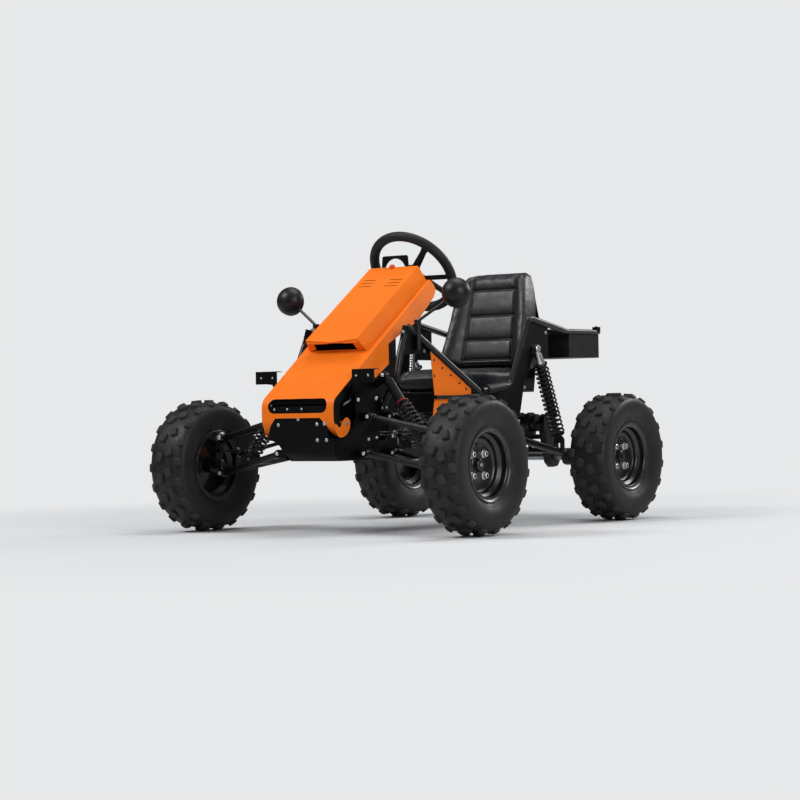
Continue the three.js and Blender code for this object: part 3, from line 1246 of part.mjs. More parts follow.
function pedal() {
  const p = PEDAL;
  const pad = [[p.armTopY + p.lean, p.padLow], [p.armTopY + p.lean + p.padThick, p.padLow],
    [p.armTopY - p.lean + p.padThick, p.padHigh], [p.armTopY - p.lean, p.padHigh]];
  const whole = fuse(
    rod(vec(p.x - p.half, p.y, p.z), vec(p.x + p.half, p.y, p.z), p.sleeve, PIVOT.sides),
    tube([vec(p.x, p.y, p.z), vec(p.x, p.armTopY, p.armTopZ)], p.arm, 0, 6),
    sidePlate(pad, p.x - p.pad, p.x + p.pad),
  );
  const reach = p.half + OVERRUN;
  return geometryOf(carve(whole, rod(vec(p.x - reach, p.y, p.z), vec(p.x + reach, p.y, p.z),
    bore(BOLT_R, PIVOT.sides), PIVOT.sides)));
}

// Swing frame: trailing arms, cross tubes, axle carriers, motor cradle and the chain case
const CRADLE = { inner: 30, outer: 200, railWidth: 14, front: 296, rear: 600, railLow: 342, railTop: 359,
  crossY: 300,
  crossZ: 336, rearCrossY: 505, crossR: 12 };
const CARRIER = { radius: 36, half: 15 };
const CASE = { inner: 222, outer: 252, axleR: 46, motorR: 38, gearboxHalf: 60, gearFront: 555, gearRear: 660,
  gearLow: 236, gearTop: 300 };
const MOTOR = { y: 560, z: 412, radius: 44, start: 24, end: 200, fins: 3, finDepth: 7, foot: 30, shaft: 9,
  footLift: 6 };
const ARM_BEND = { y: 285, z: 337, rearY: 587, rearZ: 281 };

function swingFrame() {
  const armLine = (side) => [
    vec(side * SWING.x, SWING.pivotY, SWING.pivotZ), vec(side * SWING.x, ARM_BEND.y, ARM_BEND.z),
    vec(side * SWING.x, ARM_BEND.rearY, ARM_BEND.rearZ), vec(side * SWING.x, REAR_AXLE_Y, WHEEL_Z),
  ];
  const across = (y, z) => rod(vec(-SWING.x, y, z), vec(SWING.x, y, z), CRADLE.crossR, 6);
  const rearCrossZ = ARM_BEND.z + (ARM_BEND.rearZ - ARM_BEND.z)
    * (CRADLE.rearCrossY - ARM_BEND.y) / (ARM_BEND.rearY - ARM_BEND.y);
  const sides = [-1, 1].flatMap((side) => [
    tube(armLine(side), SWING.arm, SWING.arm * 2),
    rod(vec(side * (SWING.x - SWING.half), SWING.pivotY, SWING.pivotZ),
      vec(side * (SWING.x + SWING.half), SWING.pivotY, SWING.pivotZ), SWING.sleeve),
    rod(vec(side * (SWING.x - CARRIER.half), REAR_AXLE_Y, WHEEL_Z),
      vec(side * (SWING.x + CARRIER.half), REAR_AXLE_Y, WHEEL_Z), CARRIER.radius, 10),
    ...shockEars(side),
  ]);
  const rails = [CRADLE.inner, CRADLE.outer - CRADLE.railWidth].flatMap((x) => [
    box(x, x + CRADLE.railWidth, CRADLE.front, CRADLE.rear, CRADLE.railLow, CRADLE.railTop),
    box(x, x + CRADLE.railWidth, CRADLE.rearCrossY - CRADLE.crossR / 2, CRADLE.rearCrossY + CRADLE.crossR / 2,
      rearCrossZ, CRADLE.railLow + SHEET),
  ]);
  const plate = box(CRADLE.inner, CASE.inner + PLATE, MOTOR.y - MOTOR.foot, MOTOR.y + MOTOR.foot,
    CRADLE.railTop - SHEET, CRADLE.railTop + SHEET);
  const chainCase = sidePlate([
    ...arc(REAR_AXLE_Y, WHEEL_Z, CASE.axleR, -150, 30, 4),
    ...arc(MOTOR.y, MOTOR.z, CASE.motorR, 15, 195, 4),
  ], CASE.inner, CASE.outer);
  const gearbox = box(-CASE.gearboxHalf, CASE.gearboxHalf, CRADLE.rearCrossY - CRADLE.crossR / 2,
    CASE.gearRear,
    CASE.gearLow, CASE.gearTop);
  const bores = [
    rod(vec(-SWING.x * 2, REAR_AXLE_Y, WHEEL_Z), vec(SWING.x * 2, REAR_AXLE_Y, WHEEL_Z), bore(AXLE_R, 12),
      12),
    ...[-1, 1].map((side) => rod(vec(side * (SWING.x - SWING.half * 2), SWING.pivotY, SWING.pivotZ),
      vec(side * (SWING.x + SWING.half * 2), SWING.pivotY, SWING.pivotZ), bore(SWING.pivotR, PIVOT.sides),
      PIVOT.sides)),
  ];
  return geometryOf(carve(fuse(
    sides, rails, plate, chainCase, gearbox,
    across(CRADLE.crossY, CRADLE.crossZ), across(CRADLE.rearCrossY, rearCrossZ),
  ), bores));
}

function shockEars(side) {
  const r = REAR_SHOCK;
  const parts = [-1, 1].flatMap((hand) => {
    const inner = side * r.x + hand * (r.eyeHalf + GAP);
    const outer = inner + hand * PLATE;
    const outline = [[r.bottomY - r.eye, r.bottomZ - r.eye * 3], [r.bottomY + r.eye, r.bottomZ - r.eye * 3],
      ...arc(r.bottomY, r.bottomZ, r.eye, 0, 180, 2)];
    return [sidePlate(outline, Math.min(inner, outer), Math.max(inner, outer))];
  });
  const reach = r.eyeHalf + PLATE;
  parts.push(rod(vec(side * r.x - reach, r.bottomY, r.bottomZ), vec(side * r.x + reach, r.bottomY, r.bottomZ),
    BOLT_R, PIVOT.sides));
  return parts;
}

const DISC = { x: -250, radius: 82, thick: 5, hub: 30 };

function rearAxle() {
  const end = rearWheelX + SPINDLE_END;
  const at = (x) => vec(x, REAR_AXLE_Y, WHEEL_Z);
  return geometryOf(fuse(
    rod(at(-end), at(end), AXLE_R, 12),
    rod(at(DISC.x), at(DISC.x + DISC.thick), DISC.radius, 16),
    rod(at(DISC.x - DISC.thick * 2), at(DISC.x + DISC.thick * 3), DISC.hub, 10),
  ));
}

function motor() {
  const m = MOTOR;
  const profile = [[m.start, 0], [m.start, m.radius - m.finDepth]];
  const pitch = (m.end - m.start) / (m.fins + 0.5);
  for (let i = 0; i < m.fins; i += 1) {
    const at = m.start + pitch * (i + 0.5);
    profile.push([at, m.radius - m.finDepth], [at, m.radius], [at + pitch / 2, m.radius],
      [at + pitch / 2, m.radius - m.finDepth]);
  }
  profile.push([m.end, m.radius - m.finDepth], [m.end, 0]);
  const footTop = m.z - m.radius + m.finDepth * 2;
  const cradleTop = CRADLE.railTop + SHEET + GAP;
  return geometryOf(fuse(
    turned(profile, X_AXIS, 10, vec(0, m.y, m.z)),
    box(m.start + m.foot, m.end - m.foot, m.y - m.foot, m.y + m.foot, cradleTop, footTop),
    rod(vec(m.end - OVERRUN, m.y, m.z), vec(CASE.inner - GAP, m.y, m.z), m.shaft, PIVOT.sides),
  ));
}

function rearEnd() {
  const top = vec(REAR_SHOCK.x, REAR_SHOCK.topY, REAR_SHOCK.topZ);
  const bottom = vec(REAR_SHOCK.x, REAR_SHOCK.bottomY, REAR_SHOCK.bottomZ);
  const shock = shockParts(REAR_SHOCK, top, bottom, X_AXIS);
  node('rear_rack', rearRack(), 'black');
  node('floor_frame', floorFrame(), 'black');
  pair('pedal', pedal(), 'steel');
  node('swing_frame', swingFrame(), 'black');
  node('rear_axle', rearAxle(), 'steel');
  node('drive_motor', motor(), 'black');
  pair('rear_shock_body', geometryOf(shock.body), 'steel');
  pair('rear_shock_shaft', geometryOf(shock.shaft), 'steel');
  pair('rear_shock_spring', geometryOf(shock.spring), 'black');
}

// Seat: cushions with crowned panels, drawn-in sides and stitched channels, a shell and the battery box
const BACK = {
  lean: 10, footY: 466, footZ: 652, height: 412, depth: 92, halfFoot: 212, halfMiddle: 198, halfTop: 150,
  panelFoot: 122, panelTop: 116, bolster: 18, channel: 10, edge: 26, crown: 6, top: 40,
};
const BASE = {
  front: 36, rear: 462, bottom: 549.5, height: 97, halfFront: 176, halfRear: 198, crown: 10, edge: 24,
  panel: 128,
  bolster: 8, channel: 6, nose: 46,
};
// Channel heights of the seat back, as shares of its height
const CHANNEL_SHARES = [0.08, 0.29, 0.535, 0.785];

// Cross section of a cushion: bottom edge flat, sides drawn in, top crowned with side bolsters
function cushionRing(half, panel, thick, bolster, crown, edge, place) {
  const side = Math.min(edge, thick / 2);
  return [
    place(-half + side, 0), place(half - side, 0), place(half, side * 0.7), place(half, thick - side * 1.1),
    place(half - side * 0.45, thick + bolster * 0.5 - side * 0.2), place((half + panel) / 2, thick + bolster),
    place(panel + side * 0.25, thick + bolster * 0.6), place(panel, thick), place(panel * 0.5,
    thick + crown * 0.8),
    place(0, thick + crown), place(-panel * 0.5, thick + crown * 0.8), place(-panel, thick),
    place(-panel - side * 0.25, thick + bolster * 0.6), place(-(half + panel) / 2, thick + bolster),
    place(-half + side * 0.45, thick + bolster * 0.5 - side * 0.2), place(-half, thick - side * 1.1),
    place(-half, side * 0.7),
  ];
}

function backCushion() {
  const b = BACK;
  const lean = b.lean * DEGREES;
  const up = vec(0, Math.sin(lean), Math.cos(lean));
  const out = vec(0, -Math.cos(lean), Math.sin(lean));
  const rear = vec(0, b.footY + b.depth, b.footZ);
  const stations = [[0, 0.72, 0], [0.02, 0.93, 0], [0.05, 1, 0]];
  const band = b.channel / b.height;
  CHANNEL_SHARES.forEach((share) => stations.push([share - band, 1, 0], [share, 1, 1], [share + band, 1, 0]));
  stations.push([0.93, 0.98, 0], [0.98, 0.8, 0], [1, 0.5, 0]);
  const rings = stations.map(([share, full, groove]) => {
    const half = share < 0.5
      ? THREE.MathUtils.lerp(b.halfFoot, b.halfMiddle, share * 2)
      : THREE.MathUtils.lerp(b.halfMiddle, b.halfTop, (share - 0.5) ** 2 * 4);
    const panel = THREE.MathUtils.lerp(b.panelFoot, b.panelTop, share);
    const thick = b.depth * (1 - 0.25 * share) * (full < 1 ? 0.6 + 0.4 * full : 1) - groove * b.channel;
    const crown = groove ? 0 : b.crown;
    const place = (x, deep) => rear.clone().addScaledVector(up, share * b.height)
      .addScaledVector(out, deep)
      .setX(x);
    return cushionRing(half * (0.86 + 0.14 * full), panel, thick, b.bolster + groove * b.channel * 0.6,
      crown, b.edge,
      place);
  });
  return geometryOf(loft(rings));
}

function baseCushion() {
  const b = BASE;
  const length = b.rear - b.front;
  const band = b.channel / length;
  const stations = [[0, 0.35, 0], [0.015, 0.62, 0], [0.05, 0.86, 0], [0.1, 1, 0], [0.34 - band, 1, 0],
    [0.34, 1, 1],
    [0.34 + band, 1, 0], [0.66 - band, 1, 0], [0.66, 1, 1], [0.66 + band, 1, 0], [0.96, 0.97, 0], [1, 0.8,
    0]];
  const rings = stations.map(([share, full, groove]) => {
    const half = THREE.MathUtils.lerp(b.halfFront, b.halfRear, Math.min(1, share * 2.5));
    const y = b.front + share * length;
    const thick = (b.height - b.crown) * full - groove * b.channel;
    const lift = full < 0.5 ? b.edge * 0.5 : 0;
    const place = (x, high) => vec(x, y, b.bottom + lift + high);
    return cushionRing(half - (1 - full) * b.edge, b.panel, thick, b.bolster * full, groove ? 0 : b.crown,
      b.edge, place);
  });
  return geometryOf(loft(rings));
}

const SHELL = { sheet: 5, half: 192, lip: 20, top: 1058, bracketX: 60, bracketThick: 6, bracketZ: 802,
  topHalf: 132 };

function seatShell() {
  const s = SHELL;
  const lean = BACK.lean * DEGREES;
  const up = vec(0, Math.sin(lean), Math.cos(lean));
  const backY = (z) => BACK.footY + BACK.depth + (z - BACK.footZ) * Math.tan(lean) + GAP * 2;
  const panBottom = BATTERY.top + GAP;
  const panTop = BASE.bottom - GAP;
  const pan = box(-s.half, s.half, BASE.front + s.lip, backY(panBottom) + s.sheet, panBottom, panTop);
  const rise = (s.top - panBottom) / Math.cos(lean);
  const back = slab([
    [-s.half, 0], [s.half, 0], [s.half, rise * 0.6], [s.topHalf, rise * 0.97], [s.topHalf * 0.8, rise],
    [-s.topHalf * 0.8, rise], [-s.topHalf, rise * 0.97], [-s.half, rise * 0.6],
  ], s.sheet, vec(0, backY(panBottom) + s.sheet, panBottom), X_AXIS, up);
  const front = RACK_BOX.crossY - RACK_BOX.railR - GAP;
  const brackets = [-1, 1].map((side) => box(side * s.bracketX, side * (s.bracketX + s.bracketThick),
    backY(s.bracketZ + s.lip) + s.sheet / 2, front, s.bracketZ - s.lip, s.bracketZ + s.lip));
  return geometryOf(fuse(pan, back, brackets));
}

function batteryBox() {
  const b = BATTERY;
  return geometryOf(fuse(
    box(-b.half, b.half, b.front, b.rear, b.bottom, b.top - b.lid),
    box(-b.half - SHEET, b.half + SHEET, b.front - SHEET, b.rear, b.top - b.lid * 2, b.top),
  ));
}

function seating() {
  node('seat_back_cushion', backCushion(), 'vinyl');
  node('seat_base_cushion', baseCushion(), 'vinyl');
  node('seat_shell', seatShell(), 'black');
  node('battery_box', batteryBox(), 'black');
}

wheels();
frontSuspension();
steering();
bodywork();
sideStructure();
rearEnd();
seating();

const coilGaps = LEAST_COIL_GAP.map((gap) => gap.toFixed(2)).join(', ');
console.log(`Least gap of each spring to itself: ${coilGaps} mm`);

// The origin lies on the ground under the middle of the part
const whole = new THREE.Group();
whole.add(kart);
const extent = new THREE.Box3().setFromObject(kart);
kart.position.y = -(extent.min.y + extent.max.y) / 2;

export default whole;
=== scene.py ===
"""Looks of the off road go kart: detailed pieces, cushions, materials, light and camera.

Sizes are in millimetres. Positions are measured from the point on the ground midway between the axles,
with the kart's front towards -Y and its left side towards +X.
"""
import json
from math import copysign, cos, degrees, exp, pi, radians, sin, sqrt, tan

import bmesh
import bpy
from mathutils import Matrix, Vector

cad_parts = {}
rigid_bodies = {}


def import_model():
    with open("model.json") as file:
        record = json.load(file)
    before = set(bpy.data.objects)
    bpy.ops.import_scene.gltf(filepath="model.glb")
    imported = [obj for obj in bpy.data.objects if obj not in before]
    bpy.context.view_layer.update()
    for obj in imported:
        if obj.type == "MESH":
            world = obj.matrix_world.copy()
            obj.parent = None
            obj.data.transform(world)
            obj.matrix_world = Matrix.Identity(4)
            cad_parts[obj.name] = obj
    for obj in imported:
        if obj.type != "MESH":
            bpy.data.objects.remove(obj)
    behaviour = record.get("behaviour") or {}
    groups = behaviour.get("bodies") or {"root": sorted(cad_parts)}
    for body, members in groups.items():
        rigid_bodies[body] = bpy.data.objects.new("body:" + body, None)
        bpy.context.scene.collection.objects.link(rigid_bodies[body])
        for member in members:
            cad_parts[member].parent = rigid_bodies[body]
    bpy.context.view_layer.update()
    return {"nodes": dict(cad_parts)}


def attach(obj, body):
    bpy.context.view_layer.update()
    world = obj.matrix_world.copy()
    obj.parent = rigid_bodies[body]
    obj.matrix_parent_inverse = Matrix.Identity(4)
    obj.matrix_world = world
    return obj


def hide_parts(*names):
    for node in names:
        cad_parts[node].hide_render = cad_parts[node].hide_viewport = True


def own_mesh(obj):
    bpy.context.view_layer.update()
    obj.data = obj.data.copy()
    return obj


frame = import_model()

MM = 0.001
MIDDLE_Y = -15.75
X = Vector((1, 0, 0))
Y = Vector((0, 1, 0))
Z = Vector((0, 0, 1))
GAP = 0.3
SHEET = 3
PLATE = 5
BOLT_R = 6
SOFT_EDGE = 0.8
scene = bpy.context.scene


def at(x, y, z):
    return Vector((x, y, z))


def in_metres(point):
    return Vector((point.x, point.y + MIDDLE_Y, point.z)) * MM


def new_object(name, data):
    obj = bpy.data.objects.new(name, data)
    scene.collection.objects.link(obj)
    return obj


# Materials

MIX_FACTOR = 0
MIX_FIRST = 6
MIX_SECOND = 7
MIX_RESULT = 2


def fill(tree, node, sockets):
    """Gives each socket its value, or a link where the value is another node's output"""
    for socket, value in sockets.items():
        if isinstance(value, bpy.types.NodeSocket):
            tree.links.new(value, node.inputs[socket])
        else:
            node.inputs[socket].default_value = value


def add_node(tree, kind, sockets, operation=None):
    node = tree.nodes.new("ShaderNode" + kind)
    if operation:
        node.operation = operation
    fill(tree, node, sockets)
    return node


def new_material(name, base, rough, blotch, grain, bump, metallic=0.0, edge_wear_and_highlight=None, specular=0.5):
    """Base colour that varies in broad patches and a fine grain, with roughness and bump to match.

    The colour given for the edges shows along them, partly as wear and partly as a painted highlight where
    the edges catch light.
    """
    mat = bpy.data.materials.new(name)
    mat.use_nodes = True
    tree = mat.node_tree
    place = add_node(tree, "TexCoord", {}).outputs["Object"]

    def patches(scale, detail):
        sockets = {"Scale": scale, "Detail": detail, "Roughness": 0.55, "Vector": place}
        return add_node(tree, "TexNoise", sockets).outputs["Fac"]

    def spread(value, low, high, source=(0.3, 0.7)):
        sockets = {"From Min": source[0], "From Max": source[1], "To Min": low, "To Max": high,
                   "Value": value}
        return add_node(tree, "MapRange", sockets).outputs["Result"]

    def mixed(factor, first, second):
        mix = add_node(tree, "Mix", {})
        mix.data_type = "RGBA"
        fill(tree, mix, {MIX_FACTOR: factor, MIX_FIRST: first, MIX_SECOND: second})
        return mix.outputs[MIX_RESULT]

    def tint(share):
        return (*(min(1, c * share) for c in base), 1)

    fine = patches(grain, 3)
    colour = mixed(spread(patches(9, 5), 0, 1), tint(1 - blotch), tint(1 + blotch))
    colour = mixed(spread(fine, 0, 0.35, (0.5, 0.75)), colour, tint(1 - blotch * 1.5))
    # Edge colour: wear broken into patches, and a painted highlight along the edges
    if edge_wear_and_highlight:
        edge = add_node(tree, "Bevel", {"Radius": 1.6 * MM})
        edge.samples = 4
        face = add_node(tree, "NewGeometry", {}).outputs["Normal"]
        bend = add_node(tree, "VectorMath", {0: edge.outputs["Normal"], 1: face}, "DOT_PRODUCT")
        worn_and_lit_edge = spread(bend.outputs["Value"], 0.75, 0, (0.86, 0.985))
        broken = spread(patches(60, 4), 0.15, 1, (0.4, 0.62))
        share = add_node(tree, "Math", {0: worn_and_lit_edge, 1: broken}, "MULTIPLY").outputs[0]
        colour = mixed(share, colour, (*edge_wear_and_highlight, 1))
    relief = add_node(tree, "Bump",
                      {"Strength": bump, "Distance": 0.6 * MM, "Height": fine}).outputs["Normal"]
    fill(tree, tree.nodes["Principled BSDF"], {
        "Base Color": colour, "Roughness": spread(patches(24, 6), *rough), "Normal": relief,
        "Metallic": metallic, "Specular IOR Level": specular})
    return mat


def leather(name, base):
    """Vinyl with a pebble grain and soft creases"""
    mat = new_material(name, base, (0.34, 0.5), 0.1, 420, 0.12)
    tree = mat.node_tree
    place = add_node(tree, "TexCoord", {}).outputs["Object"]
    pebble = add_node(tree, "TexVoronoi", {"Scale": 520, "Vector": place}).outputs["Distance"]
    crease = add_node(tree, "TexNoise", {"Scale": 14, "Detail": 3, "Distortion": 1.4, "Vector": place})
    grain = add_node(tree, "Bump",
                     {"Strength": 0.3, "Distance": 0.5 * MM, "Height": pebble}).outputs["Normal"]
    folds = add_node(tree, "Bump", {"Strength": 0.35, "Distance": 4 * MM, "Height": crease.outputs["Fac"],
                                    "Normal": grain})
    fill(tree, tree.nodes["Principled BSDF"], {"Normal": folds.outputs["Normal"]})
    return mat


ORANGE = new_material("orange_powder_coat", (0.87, 0.175, 0.008), (0.4, 0.54), 0.04, 900, 0.1,
                      edge_wear_and_highlight=(0.95, 0.30, 0.06), specular=0.16)
BLACK = new_material("satin_black_coat", (0.0034, 0.0035, 0.004), (0.28, 0.42), 0.2, 800, 0.12,
                     edge_wear_and_highlight=(0.08, 0.08, 0.085), specular=0.4)
PLATE_BLACK = new_material("black_plate_coat", (0.0018, 0.0019, 0.0022), (0.4, 0.55), 0.2, 650, 0.16,
                           edge_wear_and_highlight=(0.09, 0.09, 0.095), specular=0.1)
RACK_GREY = new_material("rack_sheet_coat", (0.0052, 0.0052, 0.0053), (0.42, 0.56), 0.15, 650, 0.15,
                         edge_wear_and_highlight=(0.10, 0.10, 0.10), specular=0.25)
RIM_BLACK = new_material("rim_coat", (0.0045, 0.0047, 0.0054), (0.24, 0.36), 0.15, 900, 0.05,
                         edge_wear_and_highlight=(0.07, 0.07, 0.075), specular=0.6)
RUBBER = new_material("tyre_rubber", (0.0052, 0.0054, 0.0064), (0.46, 0.62), 0.25, 380, 0.3, specular=0.35)
KNOB_RUBBER = new_material("tread_rubber", (0.021, 0.0215, 0.0225), (0.6, 0.8), 0.35, 260, 0.6,
                           edge_wear_and_highlight=(0.055, 0.056, 0.058), specular=0.3)
VINYL = leather("seat_vinyl", (0.0085, 0.0096, 0.0122))
FOAM = new_material("grip_foam", (0.0065, 0.0066, 0.0072), (0.5, 0.66), 0.2, 500, 0.35, specular=0.35)
CHROME = new_material("bright_steel", (0.66, 0.67, 0.69), (0.16, 0.3), 0.08, 300, 0.04, metallic=1)
ZINC = new_material("zinc_steel", (0.42, 0.43, 0.44), (0.28, 0.45), 0.15, 300, 0.08, metallic=1)
BRIGHT = new_material("zinc_fasteners", (0.70, 0.71, 0.73), (0.24, 0.38), 0.1, 300, 0.05, metallic=0.55)
SHADED_STEEL = new_material("shaded_steel", (0.10, 0.102, 0.105), (0.34, 0.5), 0.15, 300, 0.08, metallic=1)
ALLOY = new_material("motor_alloy", (0.05, 0.051, 0.053), (0.4, 0.6), 0.2, 240, 0.2, metallic=1)
RED = new_material("red_collar", (0.36, 0.012, 0.018), (0.25, 0.4), 0.08, 500, 0.05, metallic=0.3)
PLASTIC = new_material("black_plastic", (0.006, 0.006, 0.0064), (0.34, 0.48), 0.15, 520, 0.12, specular=0.3)
# Matte near-black that paints shade: it stands in for the shade inside hollows, openings and under sheets
PAINTED_SHADE = new_material("dark_hollow", (0.0012, 0.0012, 0.0014), (0.8, 0.95), 0.2, 300, 0.1, specular=0.04)
KNOB_ORANGE = new_material("orange_knob", (0.72, 0.11, 0.01), (0.25, 0.4), 0.06, 400, 0.05)


# Mesh building

class Shape:
    """A mesh put together from parts, each with its own material"""

    def __init__(self, points=(), faces=(), owners=(), materials=()):
        self.points = list(points)
        self.faces = list(faces)
        self.owners = list(owners)
        self.materials = list(materials)

    def add(self, points, faces, material):
        if material not in self.materials:
            self.materials.append(material)
        start = len(self.points)
        self.points += points
        self.faces += [[start + i for i in face] for face in faces]
        self.owners += [self.materials.index(material)] * len(faces)
        return self

    def shifted(self, move):
        return Shape([p + move for p in self.points], self.faces, self.owners, self.materials)

    def mirrored(self):
        points = [at(-p.x, p.y, p.z) for p in self.points]
        return Shape(points, [face[::-1] for face in self.faces], self.owners, self.materials)

    def build(self, name, body=None, stands_for=(), slot=None, bevel=0.0, sharp=42):
        mesh = bpy.data.meshes.new(name)
        mesh.from_pydata([in_metres(p) for p in self.points], [], self.faces)
        for material in self.materials:
            mesh.materials.append(material)
        mesh.polygons.foreach_set("material_index", self.owners)
        clean(mesh)
        obj = new_object(name, mesh)
        finish_surface(obj, bevel, sharp)
        if body:
            fit(obj, body, stands_for)
        return obj


def clean(mesh, joined=False):
    """Turns every face outwards. Doubled points and flat faces are joined first where joined is set."""
    work = bmesh.new()
    work.from_mesh(mesh)
    if joined:
        bmesh.ops.remove_doubles(work, verts=work.verts, dist=0.02 * MM)
        bmesh.ops.dissolve_limit(work, angle_limit=radians(0.6), verts=work.verts, edges=work.edges)
    bmesh.ops.recalc_face_normals(work, faces=work.faces)
    work.to_mesh(mesh)
    work.free()


def shade_smooth(mesh):
    mesh.polygons.foreach_set("use_smooth", [True] * len(mesh.polygons))


def finish_surface(obj, bevel, sharp):
    shade_smooth(obj.data)
    if bevel:
        soft = obj.modifiers.new("bevel", "BEVEL")
        soft.width = bevel * MM
        soft.segments = 2
        soft.limit_method = "ANGLE"
        soft.angle_limit = radians(sharp)
        soft.use_clamp_overlap = True
        obj.modifiers.new("normals", "WEIGHTED_NORMAL").keep_sharp = True
    else:
        obj.data.set_sharp_from_angle(angle=radians(sharp))


def fit(obj, body, stands_for=()):
    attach(obj, body)
    if stands_for:
        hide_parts(*stands_for)


SHARED_BODIES = ("chassis", "rear_axle_set")


def both_sides(shape, name, slot, body=None, node=None, **surface):
    """Builds a left piece and its mirror image. Body and node have the piece's name where none is given."""
    made = []
    for side, form in (("left", shape), ("right", shape.mirrored())):
        rides = body if body in SHARED_BODIES else f"{body or name}_{side}"
        made.append(form.build(f"{name}_dressed_{side}", rides, [f"{node or name}_{side}"], slot, **surface))
    return made


def across(axis):
    """Two directions square to an axis and to each other"""
    axis = axis.normalized()
    side = axis.cross(Z if abs(axis.z) < 0.9 else Y).normalized()
    return side, axis.cross(side)


def circle(centre, u, v, radius, sides, turn=0.0):
    angles = [2 * pi * i / sides + radians(turn) for i in range(sides)]
    return [centre + u * radius * cos(a) + v * radius * sin(a) for a in angles]


def skin(shape, rings, material, closed=False, ends=(0, -1)):
    """Joins rings of points, one after the other. A ring of one point is a tip."""
    sides = max(len(ring) for ring in rings)
    points, numbers = [], []
    for ring in rings:
        numbers.append([len(points) + (k if len(ring) > 1 else 0) for k in range(sides)])
        points += ring
    faces = [] if closed else [numbers[end] for end in ends if len(rings[end]) > 1]
    for a, b in zip(numbers, numbers[1:] + (numbers[:1] if closed else [])):
        for i in range(sides):
            j = (i + 1) % sides
            face = list(dict.fromkeys((a[i], a[j], b[j], b[i])))
            if len(face) > 2:
                faces.append(face)
    return shape.add(points, faces, material)


def lathe(shape, profile, centre, axis, material, sides=28, turn=0.0, closed=False):
    """A profile of (along, radius) points turned about an axis"""
    axis = axis.normalized()
    u, v = across(axis)
    rings = [circle(centre + axis * along, u, v, radius, sides if radius else 1, turn)
             for along, radius in profile]
    return skin(shape, rings, material, closed)


def rod(shape, a, b, radius, material, sides=24, end_radius=None):
    return lathe(shape, [(0, radius), ((b - a).length, end_radius or radius)], a, b - a, material, sides)


def stub(low, high, radius, cut, fall):
    """Profile of a solid round end with a chamfer"""
    return [(low, 0), (low, radius), (high - cut, radius), (high, radius - fall), (high, 0)]


def bush(shape, low, high, bore, radius, cut, fall, centre, axis, material, sides=28):
    """A round sleeve with a chamfer at both ends"""
    profile = [(low, bore), (low, radius - fall), (low + cut, radius), (high - cut, radius),
               (high, radius - fall), (high, bore)]
    return lathe(shape, profile, centre, axis, material, sides, closed=True)


def cap(start, height, radius, steps):
    """Profile of a dome from just above its rim to its tip"""
    angles = [pi / 2 * i / steps for i in range(1, steps)]
    return [*((start + height * sin(a), radius * cos(a)) for a in angles), (start + height, 0)]


def rounded(corners, bend):
    """A path through corner points with its inner corners rounded"""
    if not bend:
        return list(corners)
    steps = 7
    path = [corners[0]]
    for before, corner, after in zip(corners, corners[1:], corners[2:]):
        into, out = before - corner, after - corner
        cut = min(bend, into.length * 0.48, out.length * 0.48)
        start = corner + into.normalized() * cut
        end = corner + out.normalized() * cut
        for t in [i / steps for i in range(steps + 1)]:
            path.append(start * (1 - t) ** 2 + corner * 2 * t * (1 - t) + end * t ** 2)
    path.append(corners[-1])
    return path


def sweep(shape, path, radius, material, sides=24, closed=False):
    """A round bar along a path. The radius may be a list with one value for each point."""
    count = len(path)
    radii = radius if isinstance(radius, list) else [radius] * count
    rings = []
    side = None
    for i, point in enumerate(path):
        before = path[i - 1] if i or closed else point
        after = path[(i + 1) % count] if i + 1 < count or closed else point
        way = (after - before).normalized()
        if side is None:
            side, other = across(way)
        else:
            side = (side - way * side.dot(way)).normalized()
            other = way.cross(side)
        rings.append(circle(point, side, other, radii[i], sides))
    return skin(shape, rings, material, closed)


def tube(shape, corners, radius, material=BLACK, bend=0):
    return sweep(shape, rounded(corners, bend), radius, material)


def slab(shape, outline, thick, origin, u, v, material):
    """An outline of (u, v) points in a plane through the origin, given a thickness along u cross v"""
    out = u.cross(v).normalized() * thick
    low = [origin + u * p[0] + v * p[1] for p in outline]
    return skin(shape, [low, [p + out for p in low]], material)


def side_plate(shape, outline, x0, x1, material=PLATE_BLACK):
    """An outline of (y, z) points between two X values"""
    return slab(shape, outline, x1 - x0, at(x0, 0, 0), Y, Z, material)


def face_plate(shape, outline, y0, y1, material=PLATE_BLACK):
    """An outline of (x, z) points between two Y values"""
    return slab(shape, outline, y0 - y1, at(0, y0, 0), X, Z, material)


def flat_plate(shape, outline, z0, thick, material=BLACK):
    """An outline of (x, y) points, with its thickness upwards"""
    return slab(shape, outline, thick, at(0, 0, z0), X, Y, material)


def block(shape, x0, x1, y0, y1, z0, z1, material=PLATE_BLACK):
    xs, ys, zs = sorted((x0, x1)), sorted((y0, y1)), sorted((z0, z1))
    outline = [(xs[0], ys[0]), (xs[1], ys[0]), (xs[1], ys[1]), (xs[0], ys[1])]
    return flat_plate(shape, outline, zs[0], zs[1] - zs[0], material)


def arc(u, v, radius, start, end, steps):
    angles = [radians(start + (end - start) * i / steps) for i in range(steps + 1)]
    return [(u + radius * cos(a), v + radius * sin(a)) for a in angles]


def bolt(shape, place, out, radius=9, height=6, material=ZINC, washer=True):
    """Six-sided head with a chamfer, on a washer"""
    if washer:
        disc = [(-1, radius * 1.3), (1.2, radius * 1.3), (1.6, radius * 1.22), (1.6, 0)]
        lathe(shape, disc, place, out, material, 48)
    head = [(-1, radius), (height * 0.75, radius), (height, radius * 0.84), (height, 0)]
    lathe(shape, head, place, out, material, 6)


def dome(shape, place, out, radius=8, height=5.5, material=BRIGHT):
    """Domed cap of a carriage bolt"""
    rim = height * 0.12
    lathe(shape, [(-1, radius), (rim, radius), *cap(rim, height - rim, radius, 6)], place, out, material, 20)


